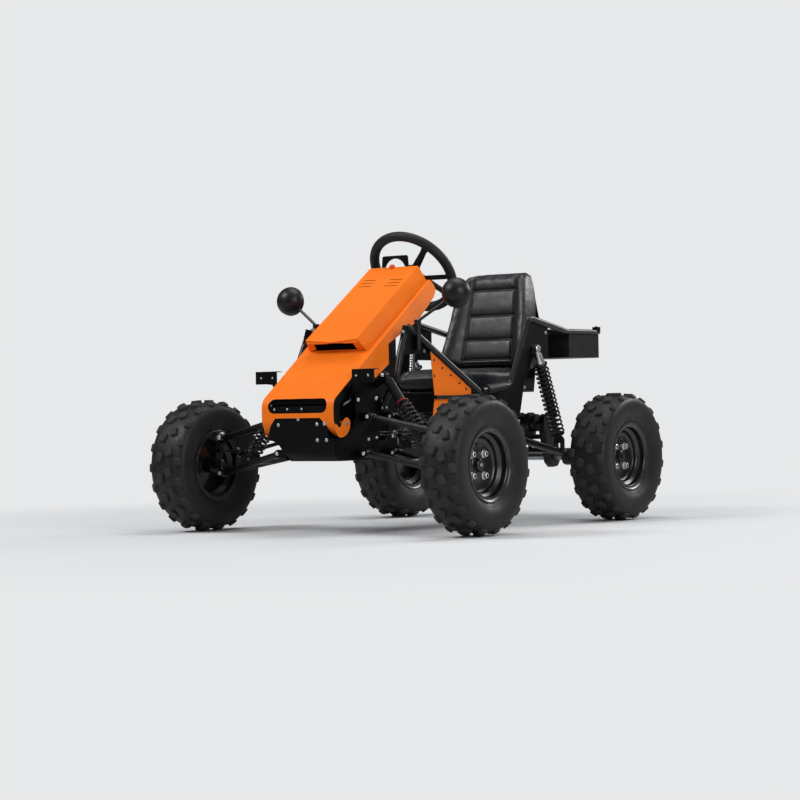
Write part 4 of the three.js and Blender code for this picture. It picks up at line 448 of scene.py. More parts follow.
def button(shape, place, out, radius, height, material=ZINC):
    """Round cap screw with a socket"""
    shares = [(0.3, 1), (0.7, 0.86), (1, 0.55), (1, 0.42), (0.4, 0.4), (0.4, 0)]
    profile = [(-1, radius), *((height * up, radius * wide) for up, wide in shares)]
    lathe(shape, profile, place, out, material, 20)


def apply_all(obj):
    graph = bpy.context.evaluated_depsgraph_get()
    mesh = bpy.data.meshes.new_from_object(obj.evaluated_get(graph))
    obj.modifiers.clear()
    obj.data = mesh
    shade_smooth(mesh)


def carved(obj, *cutters):
    """Cuts each cutter's form out of obj, for good"""
    for cutter in cutters:
        cut = obj.modifiers.new("cut", "BOOLEAN")
        cut.operation = "DIFFERENCE"
        cut.solver = "EXACT"
        cut.object = cutter
    apply_all(obj)
    for cutter in cutters:
        bpy.data.objects.remove(cutter)


def painted(obj, material):
    obj.data.materials.clear()
    obj.data.materials.append(material)


def frame_body(node):
    parent = frame["nodes"][node].parent
    while parent and not parent.name.startswith("body:"):
        parent = parent.parent
    return parent.name[len("body:"):]


def dressed(node, material, smooth, bevel=0.9, cutters=()):
    """A copy of a node's shape with softened edges and a finished surface"""
    source = frame["nodes"][node].data
    mesh = bpy.data.meshes.new(node + "_form")
    corners = [v.co.copy() for v in source.vertices]
    mesh.from_pydata(corners, [], [tuple(p.vertices) for p in source.polygons])
    clean(mesh, joined=True)
    mesh.materials.append(material)
    obj = new_object(node + "_form", mesh)
    if cutters:
        carved(obj, *cutters)
    finish_surface(obj, bevel, smooth + 12)
    fit(obj, frame_body(node), [node])


# Wheels

WHEEL_BASE = 1214
FRONT_AXLE_Y = -WHEEL_BASE / 2
REAR_AXLE_Y = WHEEL_BASE / 2
WHEEL_Z = 266.5
FRONT_WHEEL_X = 662
REAR_WHEEL_X = 557.5
SIDEWALL = [(62, 127.6), (64.4, 136), (66.4, 143.6), (69.5, 149), (73.5, 153), (74.4, 157), (77, 161),
            (82, 171),
            (85.6, 184), (87.6, 198), (88.3, 211), (87.8, 221), (86.6, 229), (85.6, 231.5), (83.4, 236),
            (79, 241.6), (72, 246.6), (60, 250.2), (46, 252.4), (30, 254), (12, 254.9)]
KNOBS_PER_ROW = 19
# Rows of tread blocks, with half their width and length, and lean and twist in degrees
KNOB_ROWS = [
    {"across": 22, "radius": 254, "lean": 2, "width": 15, "length": 18.5, "height": 11, "lead": 0,
     "twist": 20},
    {"across": 68, "radius": 248.4, "lean": 32, "width": 12.5, "length": 16.5, "height": 8, "lead": 0.5,
     "twist": 8},
]
KNOB_CORNER = 0.72
ROW_LEAD = 0.3
NUT_CIRCLE = 57.5
RIM_FACE = [
    (66, 143), (69.2, 142.6), (70, 140.4), (69.6, 137.5), (67, 134.2), (64.6, 131), (63.4, 127),
    (62.8, 123.6),
    (60.5, 121.4), (55, 120.6), (45, 120.2), (40, 119), (36.5, 115), (33, 107.5), (29, 104.6), (24, 103.8),
    (19, 102.8), (15.4, 99.5), (13.2, 94), (12, 88), (12, 44), (12.6, 41), (14.4, 39), (14.4, 31),
]
RIM_BACK = [
    (-6, 31), (8, 104), (-20, 104), (-26, 104), (-40, 121), (-62, 121), (-64, 131), (-70, 140), (-69, 143),
    (-66, 143), (-65.5, 127.2), (-38, 127.2), (-26.4, 108), (26.4, 108), (38, 127.2), (64.2, 127.2),
    (65.5, 142),
]
HUB = [(-46, 0), (-46, 15), (-46, 30), (8, 31), (14, 31), (14, 27), (19, 25.5), (26, 24), (28, 21), (28, 9),
       (25, 7),
       (25, 0)]
NUT = [(12, 7.4), (12, 12.6), (22, 12.6), (26, 11.2), (27, 9.6), (27, 7.4)]
VALVE_ANGLE = radians(108)


def tyre_shape():
    profile = [*SIDEWALL, *((-along, radius) for along, radius in reversed(SIDEWALL))]
    shape = lathe(Shape(), profile, at(0, 0, 0), X, RUBBER, 120, closed=True)
    for row in KNOB_ROWS:
        for hand in (1, -1):
            knob_row(shape, row, hand)
    return shape


def knob_row(shape, row, hand):
    lean = radians(row["lean"]) * hand
    width, length, height = row["width"], row["length"], row["height"]
    levels = ((-6, 1.12), (height * 0.2, 1.04), (height * 0.86, 0.97), (height, 0.87))
    c = KNOB_CORNER
    outline = [(1, c), (c, 1), (-c, 1), (-1, c), (-1, -c), (-c, -1), (c, -1), (1, -c)]
    for i in range(KNOBS_PER_ROW):
        place = i + row["lead"] + (ROW_LEAD if hand > 0 else 0)
        turn = Matrix.Rotation(2 * pi * place / KNOBS_PER_ROW, 3, "X")
        out = turn @ at(sin(lean), 0, cos(lean))
        twist = Matrix.Rotation(radians(row["twist"]) * hand, 3, out)
        wide = twist @ (turn @ at(cos(lean), 0, -sin(lean)))
        along = twist @ (turn @ Y)
        foot = turn @ at(row["across"] * hand, 0, row["radius"])
        rings = [[foot + out * level + wide * u * width * share + along * v * length * share
                  for u, v in outline]
                 for level, share in levels]
        skin(shape, rings, KNOB_RUBBER, ends=(-1,))


def rim_shape(front):
    """Outer face towards +X"""
    shape = Shape()

    def turned(profile, material, sides, centre=at(0, 0, 0), **how):
        lathe(shape, profile, centre, X, material, sides, **how)
    turned(RIM_FACE + RIM_BACK, RIM_BLACK, 120, closed=True)
    turned(HUB, RIM_BLACK, 40)
    turned(stub(20, 31, 8.5, 1, 1), ZINC, 6)
    for i in range(4):
        angle = radians(45 + 90 * i)
        centre = at(0, NUT_CIRCLE * cos(angle), NUT_CIRCLE * sin(angle))
        turned(stub(10, 13.4, 15.5, 0.6, 1.3), BRIGHT, 30, centre)
        turned(NUT, BRIGHT, 6, centre, turn=15, closed=True)
        # Painted shade: a near-black fill in each nut's bore stands in for the shade inside it
        turned(stub(12, 25.5, 6.8, 1, 1.3), PAINTED_SHADE, 20, centre)
    up, out = cos(VALVE_ANGLE), sin(VALVE_ANGLE)
    foot = at(13, 88 * up, 88 * out)
    way = at(1, -0.5 * up, -0.5 * out).normalized()
    rod(shape, foot, foot + way * 20, 5, RUBBER, 16, 4)
    rod(shape, foot + way * 19, foot + way * 29, 3.8, CHROME, 12)
    if not front:
        turned(stub(28, 34, 13, 1, 1), BLACK, 6)
    return shape


def wheels():
    tyre = tyre_shape()
    for end, x, y, body in (("front", FRONT_WHEEL_X, FRONT_AXLE_Y, "front_wheel"),
                            ("rear", REAR_WHEEL_X, REAR_AXLE_Y, "rear_axle_set")):
        spot = at(x, y, WHEEL_Z)
        both_sides(tyre.shifted(spot), f"tyre_{end}", "tyre", body, sharp=34)
        both_sides(rim_shape(end == "front").shifted(spot), f"rim_{end}", "black_steel", body, sharp=30)


# Suspension

PIVOT_X = 212
PIVOT_R = 15
PIVOT_HALF = 18
ARM = {"lower_z": 314, "upper_z": 454, "drop": 79, "span": 363, "elbow_x": 425, "elbow_y": -512,
       "brace": 0.42,
       "r": 13}
LOWER_PIVOTS = [at(PIVOT_X, y, ARM["lower_z"]) for y in (-678, -490)]
UPPER_PIVOTS = [at(PIVOT_X, y, ARM["upper_z"]) for y in (-652, -505)]
KINGPIN_X = PIVOT_X + ARM["span"]
LOWER_BALL = at(KINGPIN_X, FRONT_AXLE_Y, ARM["lower_z"] - ARM["drop"])
UPPER_BALL = at(KINGPIN_X, FRONT_AXLE_Y, ARM["upper_z"] - ARM["drop"])
IN_SLEEVE = PIVOT_R - 4
IN_CUP = 14
BALL = [(-12, 0), (-10.4, 6), (-6, 10.4), (0, 12), (6, 10.4)]
BALL_STUD = [*BALL, (9.6, 7.2), (11, 6)]
RACK_Y = FRONT_AXLE_Y + 100
RACK_Z = 384
TIE_Z = LOWER_BALL.z + 70
SHOCK = {"top": at(223, -568, 613), "bottom": at(455, -568, 290), "body": 20, "length": 138, "wire": 4.5,
         "curls": 12, "spring_top": 138}
REAR_SHOCK = {"top": at(320, 367, 723), "bottom": at(320, 535, 340), "body": 19, "length": 305, "wire": 4.2,
              "curls": 15, "spring_top": 78}
EYE_HALF = 12
NECK_END = 24
SHAFT_INSIDE = 40
SPRING_R = 28
SEAT_HEIGHT = 8
SEAT_TO_EYE = 22
CURL_STEPS = 22


def sleeve(shape, place):
    """Pivot sleeve with bush ends"""
    bore = BOLT_R + 1
    bush(shape, -PIVOT_HALF, PIVOT_HALF, bore, PIVOT_R, 2, 1.6, place, Y, BLACK)
    for end in (-1, 1):
        lathe(shape, [(0, bore), (0, 12), (end * 0.25, 12), (end * 0.25, bore)],
              place + Y * end * (PIVOT_HALF - 0.1), Y, ZINC, closed=True)


def ball_cup(shape, centre, open_way):
    profile = [(-17, 0), (-17, 13), (-15, 16.5), (-12, 19), (-7, 20), (5, 20), (8, 18.5), (9, 16.5),
               (9, 12.6),
               (4, 13.4), (-4, 13.6), (-10, 9), (-12, 0)]
    lathe(shape, profile, centre, open_way, BLACK, 32)


def lower_arm():
    shape = Shape()
    front, rear = LOWER_PIVOTS
    for end in LOWER_PIVOTS:
        way = (LOWER_BALL - end).normalized()
        tube(shape, [end + way * IN_SLEEVE, LOWER_BALL - way * IN_CUP], ARM["r"])
        sleeve(shape, end)
    tube(shape, [front.lerp(LOWER_BALL, ARM["brace"]), rear.lerp(LOWER_BALL, ARM["brace"])], ARM["r"] * 0.8)
    ball_cup(shape, LOWER_BALL, Z)
    dome(shape, LOWER_BALL - Y * 19.5, -Y, 8, 6)
    bottom = SHOCK["bottom"]
    for side in (-1, 1):
        inner = bottom.y + side * (EYE_HALF + GAP)
        outer = inner + side * (SHEET + GAP)
        outline = [(bottom.x - 15, bottom.z - 30), (bottom.x + 15, bottom.z - 30),
                   *arc(bottom.x, bottom.z, 15, 0, 180, 14)]
        face_plate(shape, outline, max(inner, outer), min(inner, outer), BLACK)
        bolt(shape, at(bottom.x, outer, bottom.z), Y * side, 7.5, 5, washer=False)
    rod(shape, bottom - Y * 15, bottom + Y * 15, BOLT_R - 0.6, ZINC)
    return shape


def upper_arm():
    shape = Shape()
    front, rear = UPPER_PIVOTS
    fall = ARM["drop"] * (ARM["elbow_x"] - PIVOT_X) / ARM["span"]
    elbow = at(ARM["elbow_x"], ARM["elbow_y"], ARM["upper_z"] - fall)
    radius = ARM["r"] * 0.9
    way = (UPPER_BALL - front).normalized()
    tube(shape, [front + way * IN_SLEEVE, UPPER_BALL - way * IN_CUP], radius)
    start = rear + (elbow - rear).normalized() * IN_SLEEVE
    end = UPPER_BALL - (UPPER_BALL - elbow).normalized() * IN_CUP
    tube(shape, [start, elbow, end], radius, bend=30)
    ball_cup(shape, UPPER_BALL, -Z)
    dome(shape, UPPER_BALL + Z * 16.5, Z, 13, 10)
    dome(shape, UPPER_BALL - Y * 19 + Z * 4, -Y, 11, 8)
    sleeve(shape, front)
    sleeve(shape, rear)
    return shape


def lower_stud():
    stem = [(18.6, 6), (18.6, 9.6), (22, 9.6), (22, 5.6), (44, 5.6), (44.6, 5.6), (54, 5.6), (54, 0)]
    shape = lathe(Shape(), [*BALL_STUD, *stem], LOWER_BALL, Z, SHADED_STEEL)
    nut = [(44.7, 5), (44.7, 10), (50, 10), (51.6, 8.6), (51.6, 5)]
    return lathe(shape, nut, LOWER_BALL, Z, ZINC, 6, closed=True)


def knuckle():
    shape = Shape()
    x, y = KINGPIN_X, FRONT_AXLE_Y
    web_x, web_end, web_half, boss_r = 588, 600, 21, 12.8
    bottom = LOWER_BALL.z + 22.3
    top = UPPER_BALL.z - 19
    arm_bottom = TIE_Z + 13.6
    bush(shape, 0, 22, 6.4, 16, 2, 2, at(x, y, bottom), Z, BLACK, 32)
    block(shape, x + 12, web_end, y - boss_r, y + boss_r, bottom, bottom + 22, BLACK)
    web = [(y - web_half, bottom), (y + web_half, bottom), (y + web_half, top - 10), (y + 13, top),
           (y - 13, top),
           (y - web_half, top - 10)]
    side_plate(shape, web, web_x, web_end, BLACK)
    flat_plate(shape, [(x, y - boss_r), (web_end, y - boss_r), (web_end, y + boss_r), (x, y + boss_r),
                       *arc(x, y, boss_r, 90, 270, 12)[1:-1]], top - 11, 11)
    lathe(shape, [*BALL_STUD, (22, 6), (22, 0)], UPPER_BALL, -Z, SHADED_STEEL)
    # Painted shade: a near-black cone at the mouth of the upper ball cup stands in for the shade under it
    lathe(shape, [(4, 17), (9, 17), (13, 13), (17, 8), (20, 7)], UPPER_BALL, -Z, PAINTED_SHADE)
    for end, radius, material in ((FRONT_WHEEL_X - 46.4, 16, BLACK), (FRONT_WHEEL_X - 2, 12, ZINC)):
        rod(shape, at(web_x, y, WHEEL_Z), at(end, y, WHEEL_Z), radius, material)
    flat_plate(shape, [(596, y - web_half), (596, y + web_half), (x + 13, RACK_Y),
                       *arc(x, RACK_Y, 13, 30, 180, 12), (x - 13, y - web_half)], arm_bottom, 10)
    bolt(shape, at(x, RACK_Y, arm_bottom + 10), Z, 9, 7)
    return shape


def tie_rod():
    inner = at(PIVOT_X, RACK_Y, RACK_Z)
    outer = at(KINGPIN_X, RACK_Y, TIE_Z)
    way = outer - inner
    span = way.length
    shape = lathe(Shape(), [*BALL_STUD, (34, 6), (34, 0)], inner, way, SHADED_STEEL)
    bar = [(26, 0), (26, 8.4), (30, 10), (46, 10), (48, 8), (span - 50, 8), (span - 48, 10), (span - 40, 10),
           (span - 38, 6.5), (span - 8, 6.5), (span - 8, 0)]
    lathe(shape, bar, inner, way, BLACK, 24)
    lathe(shape, [(48, 7.4), (48, 11.6), (56, 11.6), (56, 7.4)], inner, way, SHADED_STEEL, 6, closed=True)
    bush(shape, -10, 10, 5, 12, 1.4, 1, outer, Z, SHADED_STEEL)
    return lathe(shape, [(-11, 0), (-11, 4.6), (11, 4.6), (11, 0)], outer, Z, BLACK, 20)


def shock_pieces(size, eye_axis, front):
    top, bottom = size["top"], size["bottom"]
    way = bottom - top
    along, length = way.normalized(), way.length
    radius, end, spring_start = size["body"], size["length"], size["spring_top"]
    seat_end = length - SEAT_TO_EYE
    seat_start = seat_end - SEAT_HEIGHT
    body, shaft, spring = Shape(), Shape(), Shape()

    def turned(shape, profile, material, sides=40):
        lathe(shape, profile, top, along, material, sides)
    for shape, centre, material in ((body, top, BLACK if front else CHROME), (shaft, bottom, BLACK)):
        bush(shape, -EYE_HALF, EYE_HALF, BOLT_R + 0.4, 15, 2, 2, centre, eye_axis, material)
    if front:
        turned(body, [(9, 0), (9, 11.5), (NECK_END - 4, 12), (NECK_END, radius - 2), (NECK_END + 2, radius),
                      (end - 16, radius), (end - 14, radius)], BLACK)
        turned(body, [(end - 14, 0), (end - 14, 21), (end - 13, 22.5), (end - 7, 22.5), (end - 6, 21),
                      (end - 6, 0)], RED)
        turned(body, [(end - 5.8, 0), (end - 5.8, 24), (end - 4, 29), (end - 1, 29), (end, 27.5), (end, 0)],
               BLACK)
    else:
        seat = spring_start
        turned(body, [(9, 0), (9, 11), (NECK_END - 2, 13), (NECK_END + 6, 16), (seat - 12, 21)], CHROME, 32)
        turned(body, [(seat - 12, 0), (seat - 12, 20), (seat - 10, 28), (seat - 8, 30), (seat - 2, 30),
                      (seat, 28), (seat, 0)], BLACK)
        turned(body, stub(seat - 2, end, radius, 2, 2), BLACK, 32)
    inside = end - SHAFT_INSIDE
    turned(shaft, [(inside, 0), (inside, 7.6), (seat_start + 1, 7.6), (seat_start + 1, 0)], SHADED_STEEL, 24)
    turned(shaft, [(seat_start, 0), (seat_start, 24), (seat_start + 1.5, 28), (seat_start + 4, 29),
                   (seat_end - 2, 29), (seat_end, 25), (seat_end + 1, 14), (length - 9, 11),
                   (length - 9, 0)], BLACK)
    u, v = across(along)
    wire = size["wire"]
    margin = wire + 0.4
    room = seat_start - spring_start - 2 * margin
    steps = size["curls"] * CURL_STEPS
    path = []
    for i in range(steps + 1):
        angle = 2 * pi * i / CURL_STEPS
        middle = top + along * (spring_start + margin + room * i / steps)
        path.append(middle + (u * cos(angle) + v * sin(angle)) * SPRING_R)
    sweep(spring, path, wire, BLACK, 12)
    return body, shaft, spring


def shocks(end, size, eye_axis, body_slot):
    body, shaft, spring = shock_pieces(size, eye_axis, end == "front")
    both_sides(body, f"{end}_shock_body", body_slot)
    both_sides(shaft, f"{end}_shock_shaft", "bright_steel")
    left, right = both_sides(spring, f"{end}_spring", "black_steel", f"{end}_shock_body",
                             f"{end}_shock_spring")
    for obj, side, mirror in ((left, "left", 1), (right, "right", -1)):
        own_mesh(obj)


def suspension():
    both_sides(lower_arm(), "lower_arm", "black_steel", bevel=SOFT_EDGE)
    both_sides(upper_arm(), "upper_arm", "black_steel", bevel=SOFT_EDGE)
    both_sides(lower_stud(), "lower_stud", "bright_steel", "ball_stud", "lower_ball_stud")
    both_sides(knuckle(), "knuckle", "black_steel", node="steering_knuckle", bevel=SOFT_EDGE)
    both_sides(tie_rod(), "tie_rod", "black_steel")
    shocks("front", SHOCK, Y, "black_steel")
    shocks("rear", REAR_SHOCK, X, "bright_steel")


# Steering

WHEEL = {"centre": at(0, -55, 1042), "ring": 178, "grip": 20, "lean": 38.5, "hub_thick": 22,
         "spoke_thick": 8,
         "column": 420}
WHEEL_POINTS = 96
LEAN = radians(WHEEL["lean"])
COLUMN_DOWN = at(0, -cos(LEAN), -sin(LEAN))
WHEEL_UP = COLUMN_DOWN.cross(X)
JOINT = WHEEL["centre"] + COLUMN_DOWN * WHEEL["column"]


def steering_wheel():
    shape = Shape()
    centre, ring, thick = WHEEL["centre"], WHEEL["ring"], WHEEL["spoke_thick"]
    half = WHEEL["hub_thick"] / 2

    def turned(shape, profile, material, sides, place=centre):
        lathe(shape, profile, place, COLUMN_DOWN, material, sides)
    path = circle(centre, X, WHEEL_UP, ring, WHEEL_POINTS)
    radii = [WHEEL["grip"] * (1 - 0.012 * (i % 2)) for i in range(WHEEL_POINTS)]
    sweep(shape, path, radii, FOAM, 28, closed=True)
    turned(shape,
           [(-half, 0), (-half, 26), (-half + 3, 30), (-4, 34), (half - 2, 34), (half, 31), (half, 0)],
           BLACK, 40)
    turned(shape, [(-half - 3, 0), (-half - 3, 18), (-half, 20), (-half, 0)], PLASTIC, 40)
    edge = [(17, 17), (60, 15), (130, 12.5), (ring - 6, 17)]
    outline = [*((along, -wide) for along, wide in edge), *reversed(edge)]
    for angle in (radians(45), radians(225), radians(315)):
        out = X * cos(angle) + WHEEL_UP * sin(angle)
        slab(shape, outline, thick, centre - COLUMN_DOWN * thick / 2, out, COLUMN_DOWN.cross(out), BLACK)
    for spot in circle(centre, X, WHEEL_UP, 25, 6, 30):
        button(shape, spot - COLUMN_DOWN * (half - 2), -COLUMN_DOWN, 3.6, 3)
    shape.build("steering_wheel_dressed", "steering", ["steering_wheel"], "grip_foam", bevel=0.6)
    column = Shape()
    start = half + GAP
    turned(column, [(start, 0), (start, 27), (start + 8, 27), (start + 10, 25), (start + 10, 11), (384, 11),
                    (384, 0)], BLACK, 32)
    turned(column, [(376, 0), (376, 14), (380, 15), (386, 15), (388, 12), (400, 8), (420, 8), (420, 0)],
           ZINC, 28)
    turned(column, [*BALL, (10.4, 6), (12, 0)], ZINC, 28, JOINT)
    column.build("steering_column_dressed", "steering", ["steering_column"], "black_steel")


# Hood

SLOPE = radians(36.2)
SLOPE_Y = -572
SLOPE_Z = 713
RISE = tan(SLOPE)
NOSE_Y = -838
NOSE_HALF = 174
BEND = 50
CURL = 75
CURL_TURN = 76
CURL_Y = -763
CURL_Z = 455
HOOD_BACK = 481
HOOD_HALF = 172
FLANGE = 88
SPLAY = radians(15)
SLOT_HALF = 141
SLOT_LOW = 473.5
SLOT_HIGH = 525
SLOT_R = (SLOT_HIGH - SLOT_LOW) / 2
SLOT_Z = (SLOT_HIGH + SLOT_LOW) / 2
SLOT_REACH = SLOT_HALF - SLOT_R
LEG_EDGE = [(110, 453), (135, 425), (148, 383), (148, CURL_Z - CURL * 2)]
SLOPE_DOWN = at(0, -cos(SLOPE), -sin(SLOPE))
SLOPE_OUT = at(0, -sin(SLOPE), cos(SLOPE))
SLOPE_ORIGIN = at(0, SLOPE_Y, SLOPE_Z)
BEND_Y = NOSE_Y + BEND
BEND_Z = SLOPE_Z + (NOSE_Y - SLOPE_Y) * RISE - BEND * tan((pi / 2 - SLOPE) / 2)
FLANGE_SHARES = [(-1, 0), (-0.998, 0.36), (-0.985, 0.5), (-0.96, 0.6), (-0.915, 0.68), (-0.603, 0.8),
                 (-0.17, 0.375), (-0.044, 1), (0.166, 0.91), (0.21, 0.5), (0.3, 0)]
HOOK_SHARES = [(-0.86, -0.3), (-0.79, -0.7), (-0.62, -0.96), (-0.46, -1.05), (-0.18, -1.03), (0.12, -0.89),
               (0.34, -0.66), (0.42, -0.4), (0.4, -0.19), (0.25, -0.06), (0.09, -0.03), (-0.08, -0.12),
               (-0.18, -0.22), (-0.34, -0.49), (-0.5, -0.56), (-0.66, -0.42)]
LID = {"lip_y": -617, "lip_z": 756, "rear_y": -190, "rear_z": 1056}
LIP_HEM = {"y": -613.5, "half": 122, "low": 742, "high": 755.5, "middle": 746.5}
# Near-black sheets of painted shade behind the intake and the louvres, and the thickness of these sheets and
# of the lip hem
INTAKE_SHADE = {"y": -566, "half": 118, "low": 718, "high": 770}
LOUVRE_SHADE = {"rear": -240, "front": -328, "half": 108, "sunk": 7}
THIN_SHEET = 1.5


def on_slope(x, down, out):
    point = SLOPE_ORIGIN + SLOPE_DOWN * down + SLOPE_OUT * out
    return at(x, point.y, point.z)


def slope_line(deep, end, steps):
    """Side view of the hood's slope and bend at a depth under its top face"""
    start = on_slope(0, -HOOD_BACK, -deep)
    return [(start.y, start.z), *arc(BEND_Y, BEND_Z, BEND - deep, 90 + degrees(SLOPE), end, steps)]


def hood_line(deep):
    return [*slope_line(deep, 180, 14), *arc(CURL_Y, CURL_Z, CURL - deep, 180, 180 + CURL_TURN, 16)]


def slot_line(steps):
    return [*arc(SLOT_REACH, SLOT_Z, SLOT_R, -90, 90, steps),
            *arc(-SLOT_REACH, SLOT_Z, SLOT_R, 90, 270, steps)]


def smoothed(outline):
    """Rounds the corners of a closed outline"""
    for _ in range(2):
        made = []
        for (u, v), (next_u, next_v) in zip(outline, outline[1:] + outline[:1]):
            for share in (0.75, 0.25):
                made.append((u * share + next_u * (1 - share), v * share + next_v * (1 - share)))
        outline = made
    return outline


def plain(shape):
    return shape.build("cutter")


def hood():
    sheet = Shape()
    side_plate(sheet, [*hood_line(0), *hood_line(SHEET)[::-1]], -NOSE_HALF, NOSE_HALF, ORANGE)
    ribbon = sheet.build("hood_sheet")
    legs = face_plate(Shape(), [*((-x, z) for x, z in LEG_EDGE), *LEG_EDGE[::-1]], CURL_Y + CURL, NOSE_Y - 4)
    slot = face_plate(Shape(), slot_line(16), BEND_Y, NOSE_Y - 4)
    carved(ribbon, plain(legs), plain(slot))
    painted(ribbon, ORANGE)
    finish_surface(ribbon, SOFT_EDGE, 40)
    fit(ribbon, "chassis", ["hood_panel"])
    # Painted shade: near-black sheets under the hood's slope and behind the nose slot stand in for the shade
    # inside the nose
    inner_shade = Shape()
    layers = [slope_line(SHEET + deep, 165, 10) for deep in (0.4, 1.4)]
    side_plate(inner_shade, [*layers[0], *layers[1][::-1]], -NOSE_HALF + 4, NOSE_HALF - 4, PAINTED_SHADE)
    block(inner_shade, -SLOT_HALF, SLOT_HALF, BEND_Y - 20, BEND_Y - 18, SLOT_LOW + 25, BEND_Z + 36, PAINTED_SHADE)
    inner_shade.build("hood_lining", "chassis", slot="black_plastic")
    flank = Shape()
    outward = SLOPE_OUT * -cos(SPLAY)
    outward.x = sin(SPLAY)
    outline = [(along * HOOD_BACK, deep * FLANGE) for along, deep in FLANGE_SHARES]
    slab(flank, outline, SHEET, on_slope(HOOD_HALF, 0, 0), SLOPE_DOWN, outward, ORANGE)
    hook = [(CURL_Y + along * CURL, CURL_Z + up * CURL) for along, up in HOOK_SHARES]
    side_plate(flank, smoothed(hook), HOOD_HALF - 1, HOOD_HALF + SHEET, ORANGE)
    bolt(flank, at(HOOD_HALF + SHEET, CURL_Y + CURL * 0.08, CURL_Z - CURL * 0.33), X, 7, 5)
    for side, form in (("left", flank), ("right", flank.mirrored())):
        form.build(f"hood_flank_{side}", "chassis", slot="orange_sheet", bevel=SOFT_EDGE, sharp=40)
    # Painted shade: a thin near-black roll along the edge of the nose slot darkens the slot's rim
    path = []
    for x, z in slot_line(14):
        turn = max(0, z - BEND_Z) / BEND
        path.append(at(x, NOSE_Y + 1 + BEND * (1 - sqrt(max(0, 1 - turn * turn))), z))
    slot_shade_rim = sweep(Shape(), path, 2, PAINTED_SHADE, 12, closed=True)
    slot_shade_rim.build("nose_slot_edging", "chassis", slot="black_plastic")


def hood_liners():
    """Near-black sheets of painted shade behind the intake and the louvres, and inside the side openings of
    the nose
    """
    shape = Shape()
    i, v, h = INTAKE_SHADE, LOUVRE_SHADE, LIP_HEM
    block(shape, -i["half"], i["half"], i["y"], i["y"] + THIN_SHEET, i["low"], i["high"], PAINTED_SHADE)
    fall = at(0, LID["rear_y"] - LID["lip_y"], LID["rear_z"] - LID["lip_z"]).normalized()
    spot = at(0, LID["lip_y"], LID["lip_z"]) - X.cross(fall) * v["sunk"]
    front, rear = [(v[end] - LID["lip_y"]) / fall.y for end in ("front", "rear")]
    outline = [(-v["half"], front), (v["half"], front), (v["half"], rear), (-v["half"], rear)]
    slab(shape, outline, -THIN_SHEET, spot, X, fall, PAINTED_SHADE)
    opening = [(-800, 440), (-640, 440), (-640, 620), (-672, 620), (-800, 525)]
    for side in (-1, 1):
        side_plate(shape, opening, side * 150, side * 152, PAINTED_SHADE)
    shape.build("hood_liners", "chassis", slot="black_plastic")
    outline = [(-h["half"], h["low"]), (h["half"], h["low"]), (h["half"], h["high"]), (0, h["middle"]),
               (-h["half"], h["high"])]
    hem = face_plate(Shape(), outline, h["y"], h["y"] + THIN_SHEET, ORANGE)
    hem.build("hood_lip_hem", "chassis", slot="orange_sheet")


def knob():
    profile = [(0, 0), (0, 6), (12, 5), (13, 9), (16, 11.5), (21, 12), (25, 9.5), (27, 5), (27.5, 0)]
    shape = lathe(Shape(), profile, at(-6, -194, 1040), Z, KNOB_ORANGE, 24)
    shape.build("dash_knob", "chassis", slot="orange_sheet")


# Cushions

SEAT_LEAN = radians(10)
BACK = {"foot_y": 466, "foot_z": 652, "height": 412, "depth": 92, "half_foot": 212, "half_middle": 198,
        "half_top": 150, "panel_foot": 122, "panel_top": 104, "bolster": 18, "channel": 9, "drop": 30,
        "wing": 34,
        "bucket": 46, "flare": 18}
BACK_UP = at(0, sin(SEAT_LEAN), cos(SEAT_LEAN))
BACK_OUT = at(0, -cos(SEAT_LEAN), sin(SEAT_LEAN))
BACK_FOOT = at(0, BACK["foot_y"] + BACK["depth"], BACK["foot_z"])
BACK_CHANNELS = [0.05, 0.262, 0.52, 0.795]
BASE = {"front": 36, "rear": 458, "bottom": 549.5, "height": 91, "half_front": 176, "half_rear": 198,
        "outer": 190, "panel": 128, "bolster": 8, "channel": 6, "rise": 9}
BASE_CHANNELS = [0.34, 0.66]
FORM_STEPS = 26
INSET = 5
CORNER_POWER = 2 / 4.5
SECTION_POINTS = 44
CLOTH_STEPS = 20
CLOTH_LIMIT = 4 * MM


def blend_to(a, b, share):
    return a + (b - a) * share


def held(value, low=0.0, high=1.0):
    return max(low, min(high, value))


def quarter(share):
    """Rise of a quarter circle"""
    return sqrt(max(0, 1 - (1 - min(1, share)) ** 2))


def back_half(share):
    """Half width of the seat back at a share of its height"""
    low = blend_to(BACK["half_foot"], BACK["half_middle"], min(1, share * 2))
    over = max(0, share - 0.5) * 2
    return low - (BACK["half_middle"] - BACK["half_top"]) * over ** 2.2


def back_thick(share):
    return BACK["depth"] * (1 - 0.25 * share)


def cushion_section(half, thick, bulge):
    """Closed cross section: flat behind, full sides, crowned front. Points are (across, deep)."""
    points = []
    for u, w in arc(0, 0, 1, 0, 360, SECTION_POINTS)[:-1]:
        wide = copysign(abs(u) ** CORNER_POWER, u)
        deep = copysign(abs(w) ** CORNER_POWER, w)
        lift = bulge * (1 - wide * wide) if deep > 0 else 0
        points.append((wide * half, thick / 2 + deep * thick / 2 + lift))
    return points


def back_form():
    rings = []
    for share in [i / FORM_STEPS for i in range(FORM_STEPS + 1)]:
        ends = quarter(min(share / 0.04, (1 - share) / 0.085))
        fullness = 0.35 + 0.65 * ends
        half = (back_half(share) - INSET) * (0.90 + 0.10 * ends)
        thick = (back_thick(share) - INSET) * fullness
        up = BACK_UP * (share * (BACK["height"] + BACK["drop"] - 2 * INSET) + INSET - BACK["drop"])
        set_back = back_thick(share) * (1 - fullness) * 0.25
        rings.append([at(u, 0, 0) + BACK_FOOT + up + BACK_OUT * (deep + set_back)
                      for u, deep in cushion_section(half, thick, 2)])
    return skin(Shape(), rings, VINYL)


